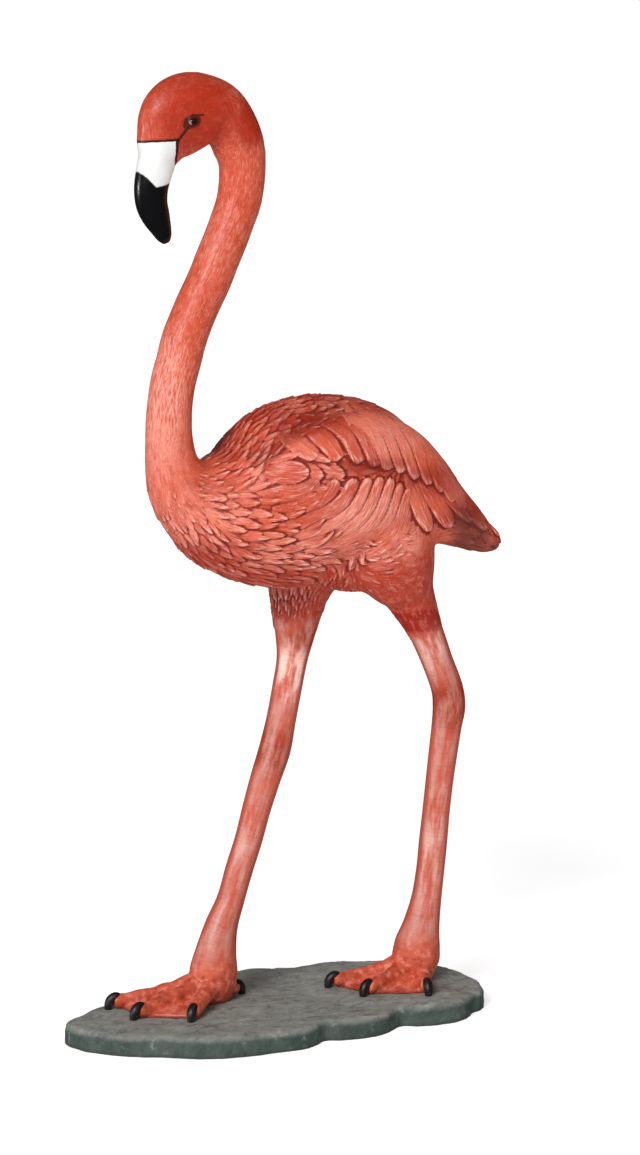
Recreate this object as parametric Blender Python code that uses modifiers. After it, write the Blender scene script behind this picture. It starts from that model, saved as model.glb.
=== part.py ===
"""A painted flamingo sculpture, cast in one piece, striding on a separate cast rock slab.

Metres, +Z up. The bird faces -X, its left side towards -Y. The origin is on the slab's
underside, below the figure's middle plane. The figure's stations are in thousandths of
its drawn height of about one metre, with heights measured from its soles.
"""

import math

import bmesh
import bpy
import numpy as np
from mathutils import Vector
from mathutils.bvhtree import BVHTree
from mathutils.kdtree import KDTree

# The figure's height in metres, and the height that its stations are drawn at.
FIGURE_HEIGHT = 1.034
DRAWN_HEIGHT = 1034
UNIT = FIGURE_HEIGHT / DRAWN_HEIGHT

# The slab, in metres.
SLAB_THICKNESS = 0.026
SLAB_EDGE_ROUND = 0.010
SLAB_DIP = 0.0022
SOLE_GAP = 0.0003
SOLE_HEIGHT = SLAB_THICKNESS + SOLE_GAP

# Level pads under the feet: their reach past a toe's line, and the width of their edge.
PAD_REACH = 14
PAD_EDGE = 18

# How finely the skins are made and how far they are thinned out.
SKIN_STEP = 3.2
SKIN_SMOOTHING = 8
BODY_SMOOTHING = 36
RING_POINTS = 28
FIGURE_TRIANGLES = 8150
SLAB_STEP = 5
SLAB_TRIANGLES = 1250
TRIM_MARGIN = 1

# The slab's outline on the ground, from the front end along the bird's left side.
SLAB_OUTLINE = [
    (-300, 47),
    (-299, 20),
    (-285, -7),
    (-259, -34),
    (-227, -57),
    (-190, -84),
    (-157, -96),
    (-106, -104),
    (-78, -106),
    (-60, -100),
    (-48, -93),
    (-30, -100),
    (2, -107),
    (28, -103),
    (44, -94),
    (54, -90),
    (72, -100),
    (97, -107),
    (124, -106),
    (144, -95),
    (152, -88),
    (168, -82),
    (183, -62),
    (190, -20),
    (184, 30),
    (156, 68),
    (118, 92),
    (74, 112),
    (38, 113),
    (14, 119),
    (-8, 131),
    (-32, 133),
    (-122, 110),
    (-226, 86),
    (-268, 70),
]
# Waves of the slab's top: turns per metre along x and y, and a phase.
SLAB_WAVES = [(5, 3, 0.4), (-3.5, 7, 1.9), (9, -4.5, 3.1), (2, 11, 5.0)]

# Stations of a limb: x, y, z of the centre, half height across the path, half width sideways.
NECK = [
    (-118, 0, 566, 62, 50),
    (-150, 0, 574, 52, 46),
    (-172, 0, 590, 41, 38),
    (-184, 0, 612, 31, 31),
    (-188, 0, 643, 26, 26),
    (-188, 0, 665, 25, 25),
    (-186, 0, 686, 24.5, 24.5),
    (-182, 0, 707, 24.5, 24.5),
    (-175.5, 0, 728, 24.5, 24.5),
    (-169, 0, 750, 24.5, 24.5),
    (-160, 0, 771, 24, 24),
    (-149.5, 0, 792, 24, 24),
    (-138, 0, 813, 24, 24),
    (-128.5, 0, 834, 24, 24),
    (-118, 0, 856, 24, 24),
    (-109, 0, 877, 24, 24),
    (-101, 0, 898, 24.5, 24.5),
    (-97, 0, 925, 25, 25),
    (-97.5, 0, 951, 26, 26),
]
HEAD = [
    (-98, 0, 935, 24, 23),
    (-100, 0, 951, 28, 26),
    (-109, 0, 973, 29.5, 28),
    (-127, 0, 992, 33, 29.5),
    (-149, 0, 994, 40, 30),
    (-171.5, 0, 990, 40.5, 28.5),
    (-186, 0, 975, 37.5, 25),
    (-196, 0, 957, 27, 21),
    (-199, 0, 946, 22, 18.5),
]
CHIN = [
    (-150, 0, 980, 26, 22),
    (-166, 0, 966, 21, 19),
    (-180, 0, 953, 15, 15),
    (-186, 0, 942, 10, 11),
]
BILL = [
    (-193, 0, 964, 17, 14),
    (-197.5, 0, 950, 21.5, 17.5),
    (-200.5, 0, 938, 21, 17.5),
    (-204, 0, 926, 20, 17),
    (-207, 0, 911, 19, 16),
    (-206.5, 0, 896, 18, 15),
    (-201.5, 0, 882, 16, 13.5),
    (-195.5, 0, 869, 12, 11),
    (-191, 0, 858.5, 8, 7.5),
    (-189, 0, 853.5, 4, 3.5),
]
BODY = [
    (-186, 0, 590, 12, 12),
    (-174, 0, 584, 34, 32),
    (-156, 0, 575, 52, 48),
    (-130, 0, 566, 68, 63),
    (-98, 0, 564, 85, 75),
    (-62, 0, 569, 99, 83),
    (-20, 0, 576.5, 106, 86),
    (30, 0, 573, 106, 84),
    (75, 0, 562.5, 93, 76),
    (108, 0, 555, 69, 60),
    (128, 0, 552, 42, 38),
    (139, 0, 551, 18, 22),
]
TAIL = [
    (95, 0, 582, 40, 48),
    (130, 0, 567, 33, 50),
    (164, 0, 543, 23, 48),
    (194, 0, 523, 15, 45),
    (218, 0, 511, 8, 38),
    (228, 0, 505, 4, 31),
]
WING = [
    (-98, 50, 592, 16, 12),
    (-82, 58, 600, 36, 22),
    (-50, 64, 603, 58, 28),
    (0, 68, 601, 72, 30),
    (50, 66, 589, 67, 28),
    (95, 59, 569, 53, 25),
    (132, 51, 548, 38, 20),
    (164, 45, 529, 27, 14),
    (190, 41, 514, 17, 8),
    (211, 39, 508, 8, 5),
]
BELLY_TUFT = [
    (0, -14, 512, 40, 52),
    (30, -16, 496, 34, 48),
    (58, -20, 497, 28, 42),
    (80, -26, 506, 20, 32),
]
RIGHT_THIGH = [
    (20, 34, 545, 40, 34),
    (8, 40, 505, 52, 42),
    (0, 40, 474, 44, 38),
    (-3.5, 40, 458, 36, 33),
    (-5.5, 40, 446, 32, 29),
    (-8, 40, 431, 28.5, 27),
    (-10, 40, 414, 25, 24),
]
RIGHT_SHANK = [
    (-8, 40, 431, 24, 23),
    (-9, 40, 416, 24, 23),
    (-14, 39, 382, 18, 17.5),
    (-21.5, 38, 348, 17, 17),
    (-29.5, 37, 314, 17, 17),
    (-38.5, 36, 280, 18.5, 17.5),
    (-51.5, 35, 247, 17.5, 17),
    (-63.5, 34, 214, 16.5, 16),
    (-74.5, 33, 180, 16, 15.5),
    (-87, 32.5, 147, 16, 15.5),
    (-98.5, 31.5, 114, 16, 15.5),
    (-111.5, 30.5, 84, 19.5, 17.5),
    (-118.5, 29.5, 58, 24, 20),
    (-122, 29.5, 34, 28.5, 22.5),
    (-122, 29.5, 14, 26, 21),
    (-121, 29.5, -8, 14, 12),
]
LEFT_THIGH = [
    (50, -40, 545, 50, 42),
    (64, -44, 510, 53, 46),
    (78, -44, 480, 43, 40),
    (90, -42, 460, 30, 31),
    (98, -42, 445, 26, 26),
    (106, -42, 429, 22.5, 23),
    (114, -41.5, 413, 20, 20),
]
LEFT_SHANK = [
    (105, -42, 429, 19.5, 20),
    (114, -41.5, 413, 19.5, 19.5),
    (131, -39.5, 377, 18, 17.5),
    (146, -37, 343, 18.5, 18),
    (149, -36, 323, 19, 18.5),
    (146.5, -35, 300, 17.5, 17),
    (143.5, -33, 271, 17, 16),
    (140, -31, 237, 16, 16),
    (137, -29, 202, 16, 15.5),
    (134.5, -27, 167, 16.5, 16),
    (132, -25, 132, 16.5, 16),
    (128, -23, 97, 18, 16.5),
    (122.5, -21, 66, 22.5, 19),
    (118, -19.5, 42, 28.5, 22),
    (116.5, -19, 20, 29, 21),
    (118, -19, 4, 20, 17),
    (118, -19, -8, 12, 10),
]

# A foot: its root, each toe's heading from straight ahead (towards the bird's left) and length.
RIGHT_FOOT = {"root": (-121, 29.5), "toes": [(-14, 116), (10, 107), (44, 77)], "spur": (-170, 33)}
LEFT_FOOT = {"root": (119, -19), "toes": [(-14.6, 101), (14.5, 83), (70, 55)], "spur": (-140, 31)}
TOE_ROOT_RISE = 24
TOE_TIP_RISE = 8.5
TOE_ROOT_RADIUS = 14
TOE_TIP_RADIUS = 7.6
SPUR_RADIUS = 7
SPUR_ROOT_RADIUS = 9
TOE_HEIGHT_SHARE = 1.1
WEB_ROOT_RISE = 25
WEB_EDGE_RISE = 4
WEB_REACH = 0.93

# A claw's stations: distance past the toe's tip, height and radius.
CLAW = [(-6, 13, 2.8), (-1, 13.4, 4.2), (3.5, 10.5, 4.8), (6, 6, 4.4), (7, 0, 3.6), (7, -6, 2.4)]

# Eyes: centre of one and its radius.
EYE = (-171, 26, 981.5)
EYE_RADIUS = 6

# The plumage's blending zone: between these heights, and this far towards the tail.
BODY_FOOT = 440
BODY_TOP = 650
BODY_NAPE = -150
BODY_END = 190
BODY_EDGE = 30

# How the feathers lie, as seen from the side: x, z, heading (0 to the tail, 90 up), then
# each feather's length, width and lift.
PLUMAGE = [
    (-195, 600, -75, 24, 11, 1.6),
    (-195, 565, -60, 30, 14, 2.6),
    (-180, 540, -40, 34, 15, 3.0),
    (-165, 585, -20, 34, 15, 3.0),
    (-150, 510, -25, 36, 16, 3.0),
    (-135, 600, 5, 34, 15, 3.0),
    (-125, 570, -10, 38, 15, 3.2),
    (-110, 620, 35, 30, 15, 2.6),
    (-110, 545, 0, 46, 16, 3.2),
    (-100, 500, -5, 40, 16, 3.0),
    (-85, 600, 10, 50, 16, 3.0),
    (-75, 645, 25, 32, 16, 2.8),
    (-75, 535, 10, 52, 16, 3.2),
    (-50, 495, 0, 40, 16, 2.8),
    (-45, 645, -35, 46, 18, 2.8),
    (-40, 670, 15, 32, 17, 2.8),
    (-45, 565, 45, 70, 15, 3.0),
    (-20, 545, 45, 70, 15, 3.0),
    (-35, 610, -10, 40, 20, 2.8),
    (-20, 465, -90, 26, 10, 2.0),
    (0, 565, 65, 70, 15, 3.0),
    (0, 520, 25, 46, 15, 3.0),
    (20, 500, 20, 36, 14, 2.6),
    (20, 640, -45, 62, 19, 3.0),
    (20, 680, -5, 34, 18, 2.8),
    (40, 525, 40, 36, 13, 2.6),
    (45, 580, 75, 60, 15, 3.0),
    (45, 490, -30, 30, 12, 2.4),
    (45, 475, -60, 26, 10, 2.0),
    (60, 660, -20, 44, 20, 2.6),
    (65, 550, 65, 36, 12, 2.6),
    (70, 575, -60, 60, 18, 3.0),
    (75, 465, -70, 24, 9, 1.8),
    (80, 635, -40, 60, 19, 3.0),
    (85, 520, -70, 30, 12, 2.4),
    (95, 495, -85, 28, 11, 2.2),
    (105, 600, -40, 66, 19, 3.0),
    (140, 590, -35, 60, 20, 2.6),
    (150, 550, -35, 66, 18, 3.0),
    (150, 515, -5, 36, 16, 2.2),
    (190, 490, -30, 46, 18, 2.2),
    (200, 525, -35, 60, 18, 2.6),
]
FIELD_SOFTNESS = 60

# Feathers end on the neck at the first height and on the thighs at the second.
PLUMAGE_TOP = 640
PLUMAGE_FOOT = 446
MANTLE_FRONT = -140
MANTLE_TOP = 700
ROW_SPACING = 0.36
SIDE_SPACING = 0.66
PLUMAGE_SEED = 11

# The wing's long feathers, in rows as seen from the side: guide lines of x and z that the
# feathers run from, through and to, how many there are, and their widths and lifts.
WING_ROWS = [
    {
        "lines": [
            [(-110, 585), (-90, 545), (-65, 520), (-25, 510)],
            [(-80, 585), (-50, 550), (-10, 530), (25, 520)],
            [(-65, 590), (-20, 570), (15, 555), (50, 540)],
            [(-55, 600), (-5, 600), (30, 600), (60, 585)],
        ],
        "count": 8,
        "width": (15, 14),
        "lift": (5.4, 3.8),
    },
    {
        "lines": [
            [(105, 605), (85, 605), (55, 605)],
            [(155, 570), (125, 570), (70, 575)],
            [(215, 515), (160, 540), (95, 535)],
        ],
        "count": 5,
        "width": (18, 20),
        "lift": (3.6, 5.8),
    },
    {
        "lines": [
            [(90, 640), (50, 665), (-5, 665), (-70, 645)],
            [(120, 610), (80, 645), (15, 655), (-65, 640)],
            [(150, 560), (100, 585), (30, 605), (-50, 620)],
        ],
        "count": 10,
        "width": (18, 16),
        "lift": (4.4, 6.2),
    },
]
# The shoulder's own round feathers: their paths, width and lift.
SHOULDER_FEATHERS = [
    ([(-70, 615), (-45, 610), (-25, 605)], 24, 5.0),
    ([(-90, 630), (-70, 630), (-40, 620)], 15, 5.4),
    ([(-90, 615), (-70, 610), (-50, 605)], 26, 5.8),
    ([(-105, 620), (-90, 625), (-70, 630)], 14, 6.0),
    ([(-105, 610), (-90, 610), (-65, 610)], 27, 7.0),
]

# A feather's form: the fall of its rim, its height at the root as a share of its lift, where
# its tip starts, how much lower its rim is than its quill, and how deep it sits in the skin.
RIM_FALL = 3
ROOT_LIFT = 0.15
TIP_START = 0.45
CROWN = 0.3
FEATHER_SINK = 1.2
TRACE_STEPS = 8


def clear_scene():
    for thing in list(bpy.data.objects):
        bpy.data.objects.remove(thing, do_unlink=True)


def smooth_rows(rows, count):
    """Rows of numbers carried on a smooth curve through them, evenly spaced along its path."""
    rows = np.array(rows, float)
    gaps = np.sqrt(np.linalg.norm(np.diff(rows[:, :3], axis=0), axis=1))
    knots = np.concatenate([[0], np.cumsum(gaps)])
    slopes = np.gradient(rows, knots, axis=0)
    dense = np.linspace(0, knots[-1], 12 * len(rows))
    spans = np.clip(np.searchsorted(knots, dense, side="right") - 1, 0, len(rows) - 2)
    width = (knots[spans + 1] - knots[spans])[:, None]
    t = (dense - knots[spans])[:, None] / width
    fine = (
        (2 * t**3 - 3 * t**2 + 1) * rows[spans]
        + (t**3 - 2 * t**2 + t) * width * slopes[spans]
        + (3 * t**2 - 2 * t**3) * rows[spans + 1]
        + (t**3 - t**2) * width * slopes[spans + 1]
    )
    steps = np.linalg.norm(np.diff(fine[:, :3], axis=0), axis=1)
    travelled = np.concatenate([[0], np.cumsum(steps)])
    even = np.linspace(0, travelled[-1], count)
    return np.stack([np.interp(even, travelled, column) for column in fine.T], axis=1)


def loft(body, stations, mirror=False):
    """Adds a closed oval limb through the stations; mirror puts it on the other side."""
    count = max(12, 4 * len(stations))
    rows = smooth_rows(stations, count)
    if mirror:
        rows[:, 1] *= -1
    paths = np.gradient(rows[:, :3], axis=0)
    paths /= np.linalg.norm(paths, axis=1)[:, None]
    rings = []
    for (x, y, z, tall, wide), path in zip(rows, paths):
        side = np.array((0, 1, 0)) - path * path[1]
        side /= np.linalg.norm(side)
        rise = np.cross(side, path)
        ring = []
        for k in range(RING_POINTS):
            turn = 2 * math.pi * k / RING_POINTS
            point = np.array((x, y, z)) + rise * tall * math.cos(turn) + side * wide * math.sin(turn)
            ring.append(body.verts.new(point))
        rings.append(ring)
    for low, high in zip(rings, rings[1:]):
        for k in range(RING_POINTS):
            n = (k + 1) % RING_POINTS
            body.faces.new((low[k], low[n], high[n], high[k]))
    body.faces.new(rings[0][::-1])
    body.faces.new(rings[-1])


def ball(body, centre, radius):
    made = bmesh.ops.create_icosphere(body, subdivisions=3, radius=radius)
    bmesh.ops.translate(body, verts=made["verts"], vec=centre)


def hull(body, points):
    made = [body.verts.new(point) for point in points]
    bmesh.ops.convex_hull(body, input=made)


def foot(body, plan):
    """Three webbed toes, a short spur behind and a claw on each."""
    root = Vector((plan["root"][0], plan["root"][1], 0))
    edges = []
    for number, (heading, length) in enumerate(plan["toes"] + [plan["spur"]]):
        spur = number == len(plan["toes"])
        turn = math.radians(heading)
        way = Vector((-math.cos(turn), -math.sin(turn), 0))
        wide = SPUR_RADIUS if spur else TOE_TIP_RADIUS
        thick = SPUR_ROOT_RADIUS if spur else TOE_ROOT_RADIUS
        toe = [
            (0, TOE_ROOT_RISE, thick),
            (0.25, TOE_ROOT_RISE * 0.82, thick * 0.86),
            (0.5, TOE_TIP_RISE * 1.7, wide * 1.12),
            (0.75, TOE_TIP_RISE * 1.28, wide),
            (0.95, TOE_TIP_RISE, wide),
            (1, TOE_TIP_RISE * 0.94, wide * 0.8),
        ]
        rows = []
        for share, rise, size in toe:
            spot = root + way * length * share
            rows.append((spot.x, spot.y, rise, size * TOE_HEIGHT_SHARE, size))
        loft(body, rows)
        tip = root + way * length
        rows = []
        for along, rise, size in CLAW:
            spot = tip + way * along
            rows.append((spot.x, spot.y, rise, size, size))
        loft(body, rows)
        if not spur:
            edges.append(root + way * length * WEB_REACH)
    for first, second in zip(edges, edges[1:]):
        points = []
        for spot, rise in ((root, WEB_ROOT_RISE), (first, WEB_EDGE_RISE), (second, WEB_EDGE_RISE)):
            points += [(spot.x, spot.y, -WEB_EDGE_RISE), (spot.x, spot.y, rise)]
        hull(body, points)


def figure_mesh():
    """All the figure's limbs as one smooth closed skin, still without feathers."""
    body = bmesh.new()
    for stations in (NECK, HEAD, CHIN, BILL, BODY, BELLY_TUFT, TAIL):
        loft(body, stations)
    for stations in (RIGHT_THIGH, RIGHT_SHANK, LEFT_THIGH, LEFT_SHANK):
        loft(body, stations)
    for mirror in (False, True):
        loft(body, WING, mirror)
        side = -1 if mirror else 1
        ball(body, (EYE[0], EYE[1] * side, EYE[2]), EYE_RADIUS)
    foot(body, RIGHT_FOOT)
    foot(body, LEFT_FOOT)
    bmesh.ops.recalc_face_normals(body, faces=body.faces)
    bmesh.ops.scale(body, verts=body.verts, vec=(UNIT, UNIT, UNIT))
    bmesh.ops.translate(body, verts=body.verts, vec=(0, 0, SOLE_HEIGHT))
    mesh = bpy.data.meshes.new("figure_skin")
    body.to_mesh(mesh)
    body.free()
    return mesh


def apply_modifiers(thing):
    graph = bpy.context.evaluated_depsgraph_get()
    graph.update()
    mesh = bpy.data.meshes.new_from_object(thing.evaluated_get(graph))
    thing.modifiers.clear()
    thing.data = mesh


def unit_rows(rows):
    return rows / np.maximum(np.linalg.norm(rows, axis=-1, keepdims=True), 1e-9)


class Skin:
    """The bare skin in station units, with what the feathers need to find their way on it."""

    def __init__(self, mesh):
        count = len(mesh.vertices)
        self.points = np.empty(count * 3)
        mesh.vertices.foreach_get("co", self.points)
        self.points = self.points.reshape(-1, 3)
        self.points[:, 2] -= SOLE_HEIGHT
        self.points /= UNIT
        self.normals = np.empty(count * 3)
        mesh.vertices.foreach_get("normal", self.normals)
        self.normals = self.normals.reshape(-1, 3)
        faces = [tuple(face.vertices) for face in mesh.polygons]
        self.tree = BVHTree.FromPolygons([Vector(p) for p in self.points], faces)
        self.index = KDTree(count)
        for number, point in enumerate(self.points):
            self.index.insert(point, number)
        self.index.balance()
        self.heights = np.zeros(count)

    def settle(self, point):
        """The nearest place on the skin and its normal."""
        place, normal, _, _ = self.tree.find_nearest(Vector(point))
        return np.array(place), np.array(normal)

    def from_side(self, x, z, side):
        """Where a line from the bird's left or right meets the skin."""
        place, normal, _, _ = self.tree.ray_cast(Vector((x, DRAWN_HEIGHT * side, z)), Vector((0, -side, 0)))
        if place is None:
            return self.settle((x, 0, z))
        return np.array(place), np.array(normal)


def feather_field(rows, point):
    """The feathers' way, length, width and lift near a point, from the nearest rows."""
    gaps = (rows[:, 0] - point[0]) ** 2 + (rows[:, 1] - point[2]) ** 2
    weights = 1 / (gaps + FIELD_SOFTNESS) ** 2
    weights /= weights.sum()
    headings = np.radians(rows[:, 2])
    way = np.array((weights @ np.cos(headings), 0, weights @ np.sin(headings)))
    length, width, lift = weights @ rows[:, 3:]
    return way, length, width, lift


def lay_feather(skin, spots, normals, width, lift, pointed):
    """Raises the skin under one feather, thin at its root and thickest at its tip."""
    spots = np.array(spots)
    normals = np.array(normals)
    steps = np.linalg.norm(np.diff(spots, axis=0), axis=1)
    travelled = np.concatenate([[0], np.cumsum(steps)])
    ways = unit_rows(np.gradient(spots, axis=0))
    sides = unit_rows(np.cross(normals, ways))
    found = set()
    for spot in spots:
        found.update(hit[1] for hit in skin.index.find_range(spot, max(width / 2, steps.max()) + RIM_FALL))
    if not found:
        return
    found = np.array(sorted(found))
    offsets = skin.points[found][:, None, :] - spots[None]
    nearest = np.argmin(np.sum(offsets**2, axis=2), axis=1)
    offset = offsets[np.arange(len(found)), nearest]
    along = (travelled[nearest] + np.sum(offset * ways[nearest], axis=1)) / travelled[-1]
    across = np.abs(np.sum(offset * sides[nearest], axis=1))
    facing = np.sum(skin.normals[found] * normals[nearest], axis=1)
    tip = np.clip((along - TIP_START) / (1 - TIP_START), 0, 1)
    half = width / 2 * np.minimum(1, 0.5 + 1.4 * along) * np.sqrt(1 - tip**2) ** pointed
    rim = np.clip((half - across) / RIM_FALL, 0, 1)
    rim = rim * rim * (3 - 2 * rim)
    crown = 1 - CROWN * np.clip(across / np.maximum(half, 1e-3), 0, 1) ** 2
    height = lift * (ROOT_LIFT + (1 - ROOT_LIFT) * np.clip(along, 0, 1)) * rim * crown
    height[(along < 0) | (along > 1) | (facing < 0.25)] = 0
    skin.heights[found] = np.maximum(skin.heights[found], height)


def trace(skin, rows, start, length):
    """Follows the feathers' way over the skin from a root."""
    place, normal = skin.settle(start)
    spots, normals = [place], [normal]
    for _ in range(TRACE_STEPS):
        way = feather_field(rows, place)[0]
        way = unit_rows(way - normal * np.dot(way, normal))
        place, normal = skin.settle(place + way * length / TRACE_STEPS)
        spots.append(place)
        normals.append(normal)
    return spots, normals


def feather_roots(skin, rows):
    """Roots of the small feathers, scattered at random but none too close to another."""
    x, z = skin.points[:, 0], skin.points[:, 2]
    inside = (z > PLUMAGE_FOOT) & ((z < PLUMAGE_TOP) | ((x > MANTLE_FRONT) & (z < MANTLE_TOP)))
    order = np.random.default_rng(PLUMAGE_SEED).permutation(np.nonzero(inside)[0])
    cell_size = ROW_SPACING * rows[:, 3].max()
    crowd = {}
    roots = []
    for point in skin.points[order]:
        way, length, width, lift = feather_field(rows, point)
        cell = np.floor(point / cell_size).astype(int)
        others = []
        for shift in np.ndindex(3, 3, 3):
            others += crowd.get(tuple(cell + shift - 1), [])
        if others:
            gaps = np.array(others) - point
            ahead = gaps @ way
            aside = np.sqrt(np.maximum(np.sum(gaps**2, axis=1) - ahead**2, 0))
            if np.any((ahead / (ROW_SPACING * length)) ** 2 + (aside / (SIDE_SPACING * width)) ** 2 < 1):
                continue
        crowd.setdefault(tuple(cell), []).append(point)
        roots.append((point, length, width, lift))
    return roots


def point_on(line, share):
    """A point on a line of corners, at a share of its corners."""
    line = np.array(line, float)
    place = share * (len(line) - 1)
    return [np.interp(place, np.arange(len(line)), column) for column in line.T]


def lay_side_feather(skin, corners, side, width, lift):
    """A feather along corners given as x and z, on one side of the bird."""
    rows = smooth_rows([(x, 0, z) for x, z in corners], TRACE_STEPS + 4)
    landed = [skin.from_side(x, z, side) for x, _, z in rows]
    lay_feather(skin, [place for place, _ in landed], [normal for _, normal in landed], width, lift, 1)


def plumage(skin):
    """Small feathers in shingles, then the wings' own long ones over them."""
    rows = np.array(PLUMAGE, float)
    roots = feather_roots(skin, rows)
    for point, length, width, lift in roots:
        spots, normals = trace(skin, rows, point, length)
        lay_feather(skin, spots, normals, width, lift, 1.5)
    for side in (-1, 1):
        for row in WING_ROWS:
            for number in range(row["count"]):
                share = number / (row["count"] - 1)
                corners = [point_on(line, share) for line in row["lines"]]
                width, lift = (np.interp(share, (0, 1), row[size]) for size in ("width", "lift"))
                lay_side_feather(skin, corners, side, width, lift)
        for corners, width, lift in SHOULDER_FEATHERS:
            lay_side_feather(skin, corners, side, width, lift)
    print("small feathers", len(roots))


def raise_feathers(mesh):
    skin = Skin(mesh)
    plumage(skin)
    lifts = np.where(skin.heights > 0, skin.heights - FEATHER_SINK, 0)
    moved = (skin.points + skin.normals * lifts[:, None]) * UNIT
    moved[:, 2] += SOLE_HEIGHT
    mesh.vertices.foreach_set("co", moved.ravel())
    mesh.update()


def cut_flat(mesh, height):
    """Cuts a solid off level and closes it with a flat underside."""
    body = bmesh.new()
    body.from_mesh(mesh)
    everything = list(body.verts) + list(body.edges) + list(body.faces)
    bmesh.ops.bisect_plane(
        body, geom=everything, plane_co=(0, 0, height), plane_no=(0, 0, 1), clear_inner=True
    )
    rim = [edge for edge in body.edges if edge.is_boundary]
    for edge in rim:
        for vert in edge.verts:
            vert.co.z = height
    bmesh.ops.holes_fill(body, edges=rim, sides=0)
    bmesh.ops.triangulate(body, faces=body.faces)
    bmesh.ops.recalc_face_normals(body, faces=body.faces)
    body.to_mesh(mesh)
    body.free()
    mesh.update()


def thin_out(thing, triangles):
    triangulated = thing.modifiers.new("triangles", "TRIANGULATE")
    triangulated.quad_method = "SHORTEST_DIAGONAL"
    apply_modifiers(thing)
    fewer = thing.modifiers.new("fewer", "DECIMATE")
    fewer.ratio = triangles / len(thing.data.polygons)
    apply_modifiers(thing)


def remesh(thing, step):
    skin = thing.modifiers.new("skin", "REMESH")
    skin.mode = "VOXEL"
    skin.voxel_size = step
    apply_modifiers(thing)


def soften(thing, group, iterations):
    """Smooths an object, or only its vertex group of that name."""
    ease = thing.modifiers.new("ease", "SMOOTH")
    ease.vertex_group = group
    ease.factor = 0.5
    ease.iterations = round(iterations)
    apply_modifiers(thing)


def mark_body(figure):
    """A vertex group of the body, where wings, thighs and tail flow into each other."""
    group = figure.vertex_groups.new(name="body")
    for vert in figure.data.vertices:
        x = vert.co.x / UNIT
        z = (vert.co.z - SOLE_HEIGHT) / UNIT
        neck = (BODY_TOP - z) / BODY_EDGE + max(0, (x - BODY_NAPE) / BODY_EDGE)
        share = min(1, (z - BODY_FOOT) / BODY_EDGE, neck, (BODY_END - x) / BODY_EDGE)
        if share > 0:
            group.add([vert.index], share, "REPLACE")


def make_figure():
    figure = bpy.data.objects.new("flamingo", figure_mesh())
    bpy.context.scene.collection.objects.link(figure)
    remesh(figure, SKIN_STEP * UNIT)
    mark_body(figure)
    soften(figure, "body", BODY_SMOOTHING)
    soften(figure, "", SKIN_SMOOTHING)
    raise_feathers(figure.data)
    cut_flat(figure.data, SOLE_HEIGHT - TRIM_MARGIN * UNIT)
    thin_out(figure, FIGURE_TRIANGLES)
    cut_flat(figure.data, SOLE_HEIGHT)
    return figure


def toe_lines():
    """Each toe's line on the ground, with its claw, for the pads below the feet."""
    lines = []
    for plan in (RIGHT_FOOT, LEFT_FOOT):
        root = np.array(plan["root"], float)
        for heading, length in plan["toes"] + [plan["spur"]]:
            turn = math.radians(heading)
            way = np.array((-math.cos(turn), -math.sin(turn)))
            lines.append((root, root + way * (length + CLAW[-1][0])))
    return lines


def away_from_feet(spot, lines):
    """0 under the feet and 1 well clear of them."""
    gaps = []
    for start, end in lines:
        toe = end - start
        along = np.clip(np.dot(spot - start, toe) / np.dot(toe, toe), 0, 1)
        gaps.append(np.linalg.norm(spot - start - toe * along))
    return float(np.clip((min(gaps) - PAD_REACH) / PAD_EDGE, 0, 1))


def slab_block():
    """The slab's outline as a solid with a rounded rim, deep enough to be cut level at the ground."""
    curve = bpy.data.curves.new("slab_outline", "CURVE")
    curve.dimensions = "2D"
    curve.fill_mode = "BOTH"
    curve.resolution_u = 8
    depth = SLAB_THICKNESS + 2 * SLAB_EDGE_ROUND
    curve.extrude = depth / 2 - SLAB_EDGE_ROUND
    curve.bevel_depth = SLAB_EDGE_ROUND
    curve.bevel_resolution = 4
    curve.offset = -SLAB_EDGE_ROUND
    spline = curve.splines.new("BEZIER")
    spline.bezier_points.add(len(SLAB_OUTLINE) - 1)
    spline.use_cyclic_u = True
    for point, (x, y) in zip(spline.bezier_points, SLAB_OUTLINE):
        point.co = (x * UNIT, y * UNIT, 0)
        point.handle_left_type = point.handle_right_type = "AUTO"
    drawn = bpy.data.objects.new("slab_outline", curve)
    bpy.context.scene.collection.objects.link(drawn)
    bpy.context.view_layer.update()
    graph = bpy.context.evaluated_depsgraph_get()
    mesh = bpy.data.meshes.new_from_object(drawn.evaluated_get(graph))
    bpy.data.objects.remove(drawn, do_unlink=True)
    body = bmesh.new()
    body.from_mesh(mesh)
    bmesh.ops.remove_doubles(body, verts=body.verts, dist=1e-6)
    bmesh.ops.translate(body, verts=body.verts, vec=(0, 0, SLAB_THICKNESS - depth / 2))
    body.to_mesh(mesh)
    body.free()
    return mesh


def make_slab():
    """The rock slab: a lobed outline, a rounded rim and a gently dipping top with level pads."""
    slab = bpy.data.objects.new("rock_base", slab_block())
    bpy.context.scene.collection.objects.link(slab)
    remesh(slab, SLAB_STEP * UNIT)
    lines = toe_lines()
    for vert in slab.data.vertices:
        x, y, z = vert.co
        depth = SLAB_THICKNESS - z
        if depth < SLAB_EDGE_ROUND / 2:
            free = away_from_feet(np.array((x, y)) / UNIT, lines)
            wave = 0
            for along, across, phase in SLAB_WAVES:
                wave += math.cos(math.tau * (along * x + across * y) + phase) / len(SLAB_WAVES)
            dip = SLAB_DIP * free * (1 + wave) / 2
            fade = 1 - max(0, depth) / (SLAB_EDGE_ROUND / 2)
            vert.co.z = SLAB_THICKNESS - max(0, depth) - dip * fade
    cut_flat(slab.data, -TRIM_MARGIN * UNIT)
    thin_out(slab, SLAB_TRIANGLES)
    for vert in slab.data.vertices:
        vert.co.z = min(vert.co.z, SLAB_THICKNESS)
    cut_flat(slab.data, 0)
    return slab


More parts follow.
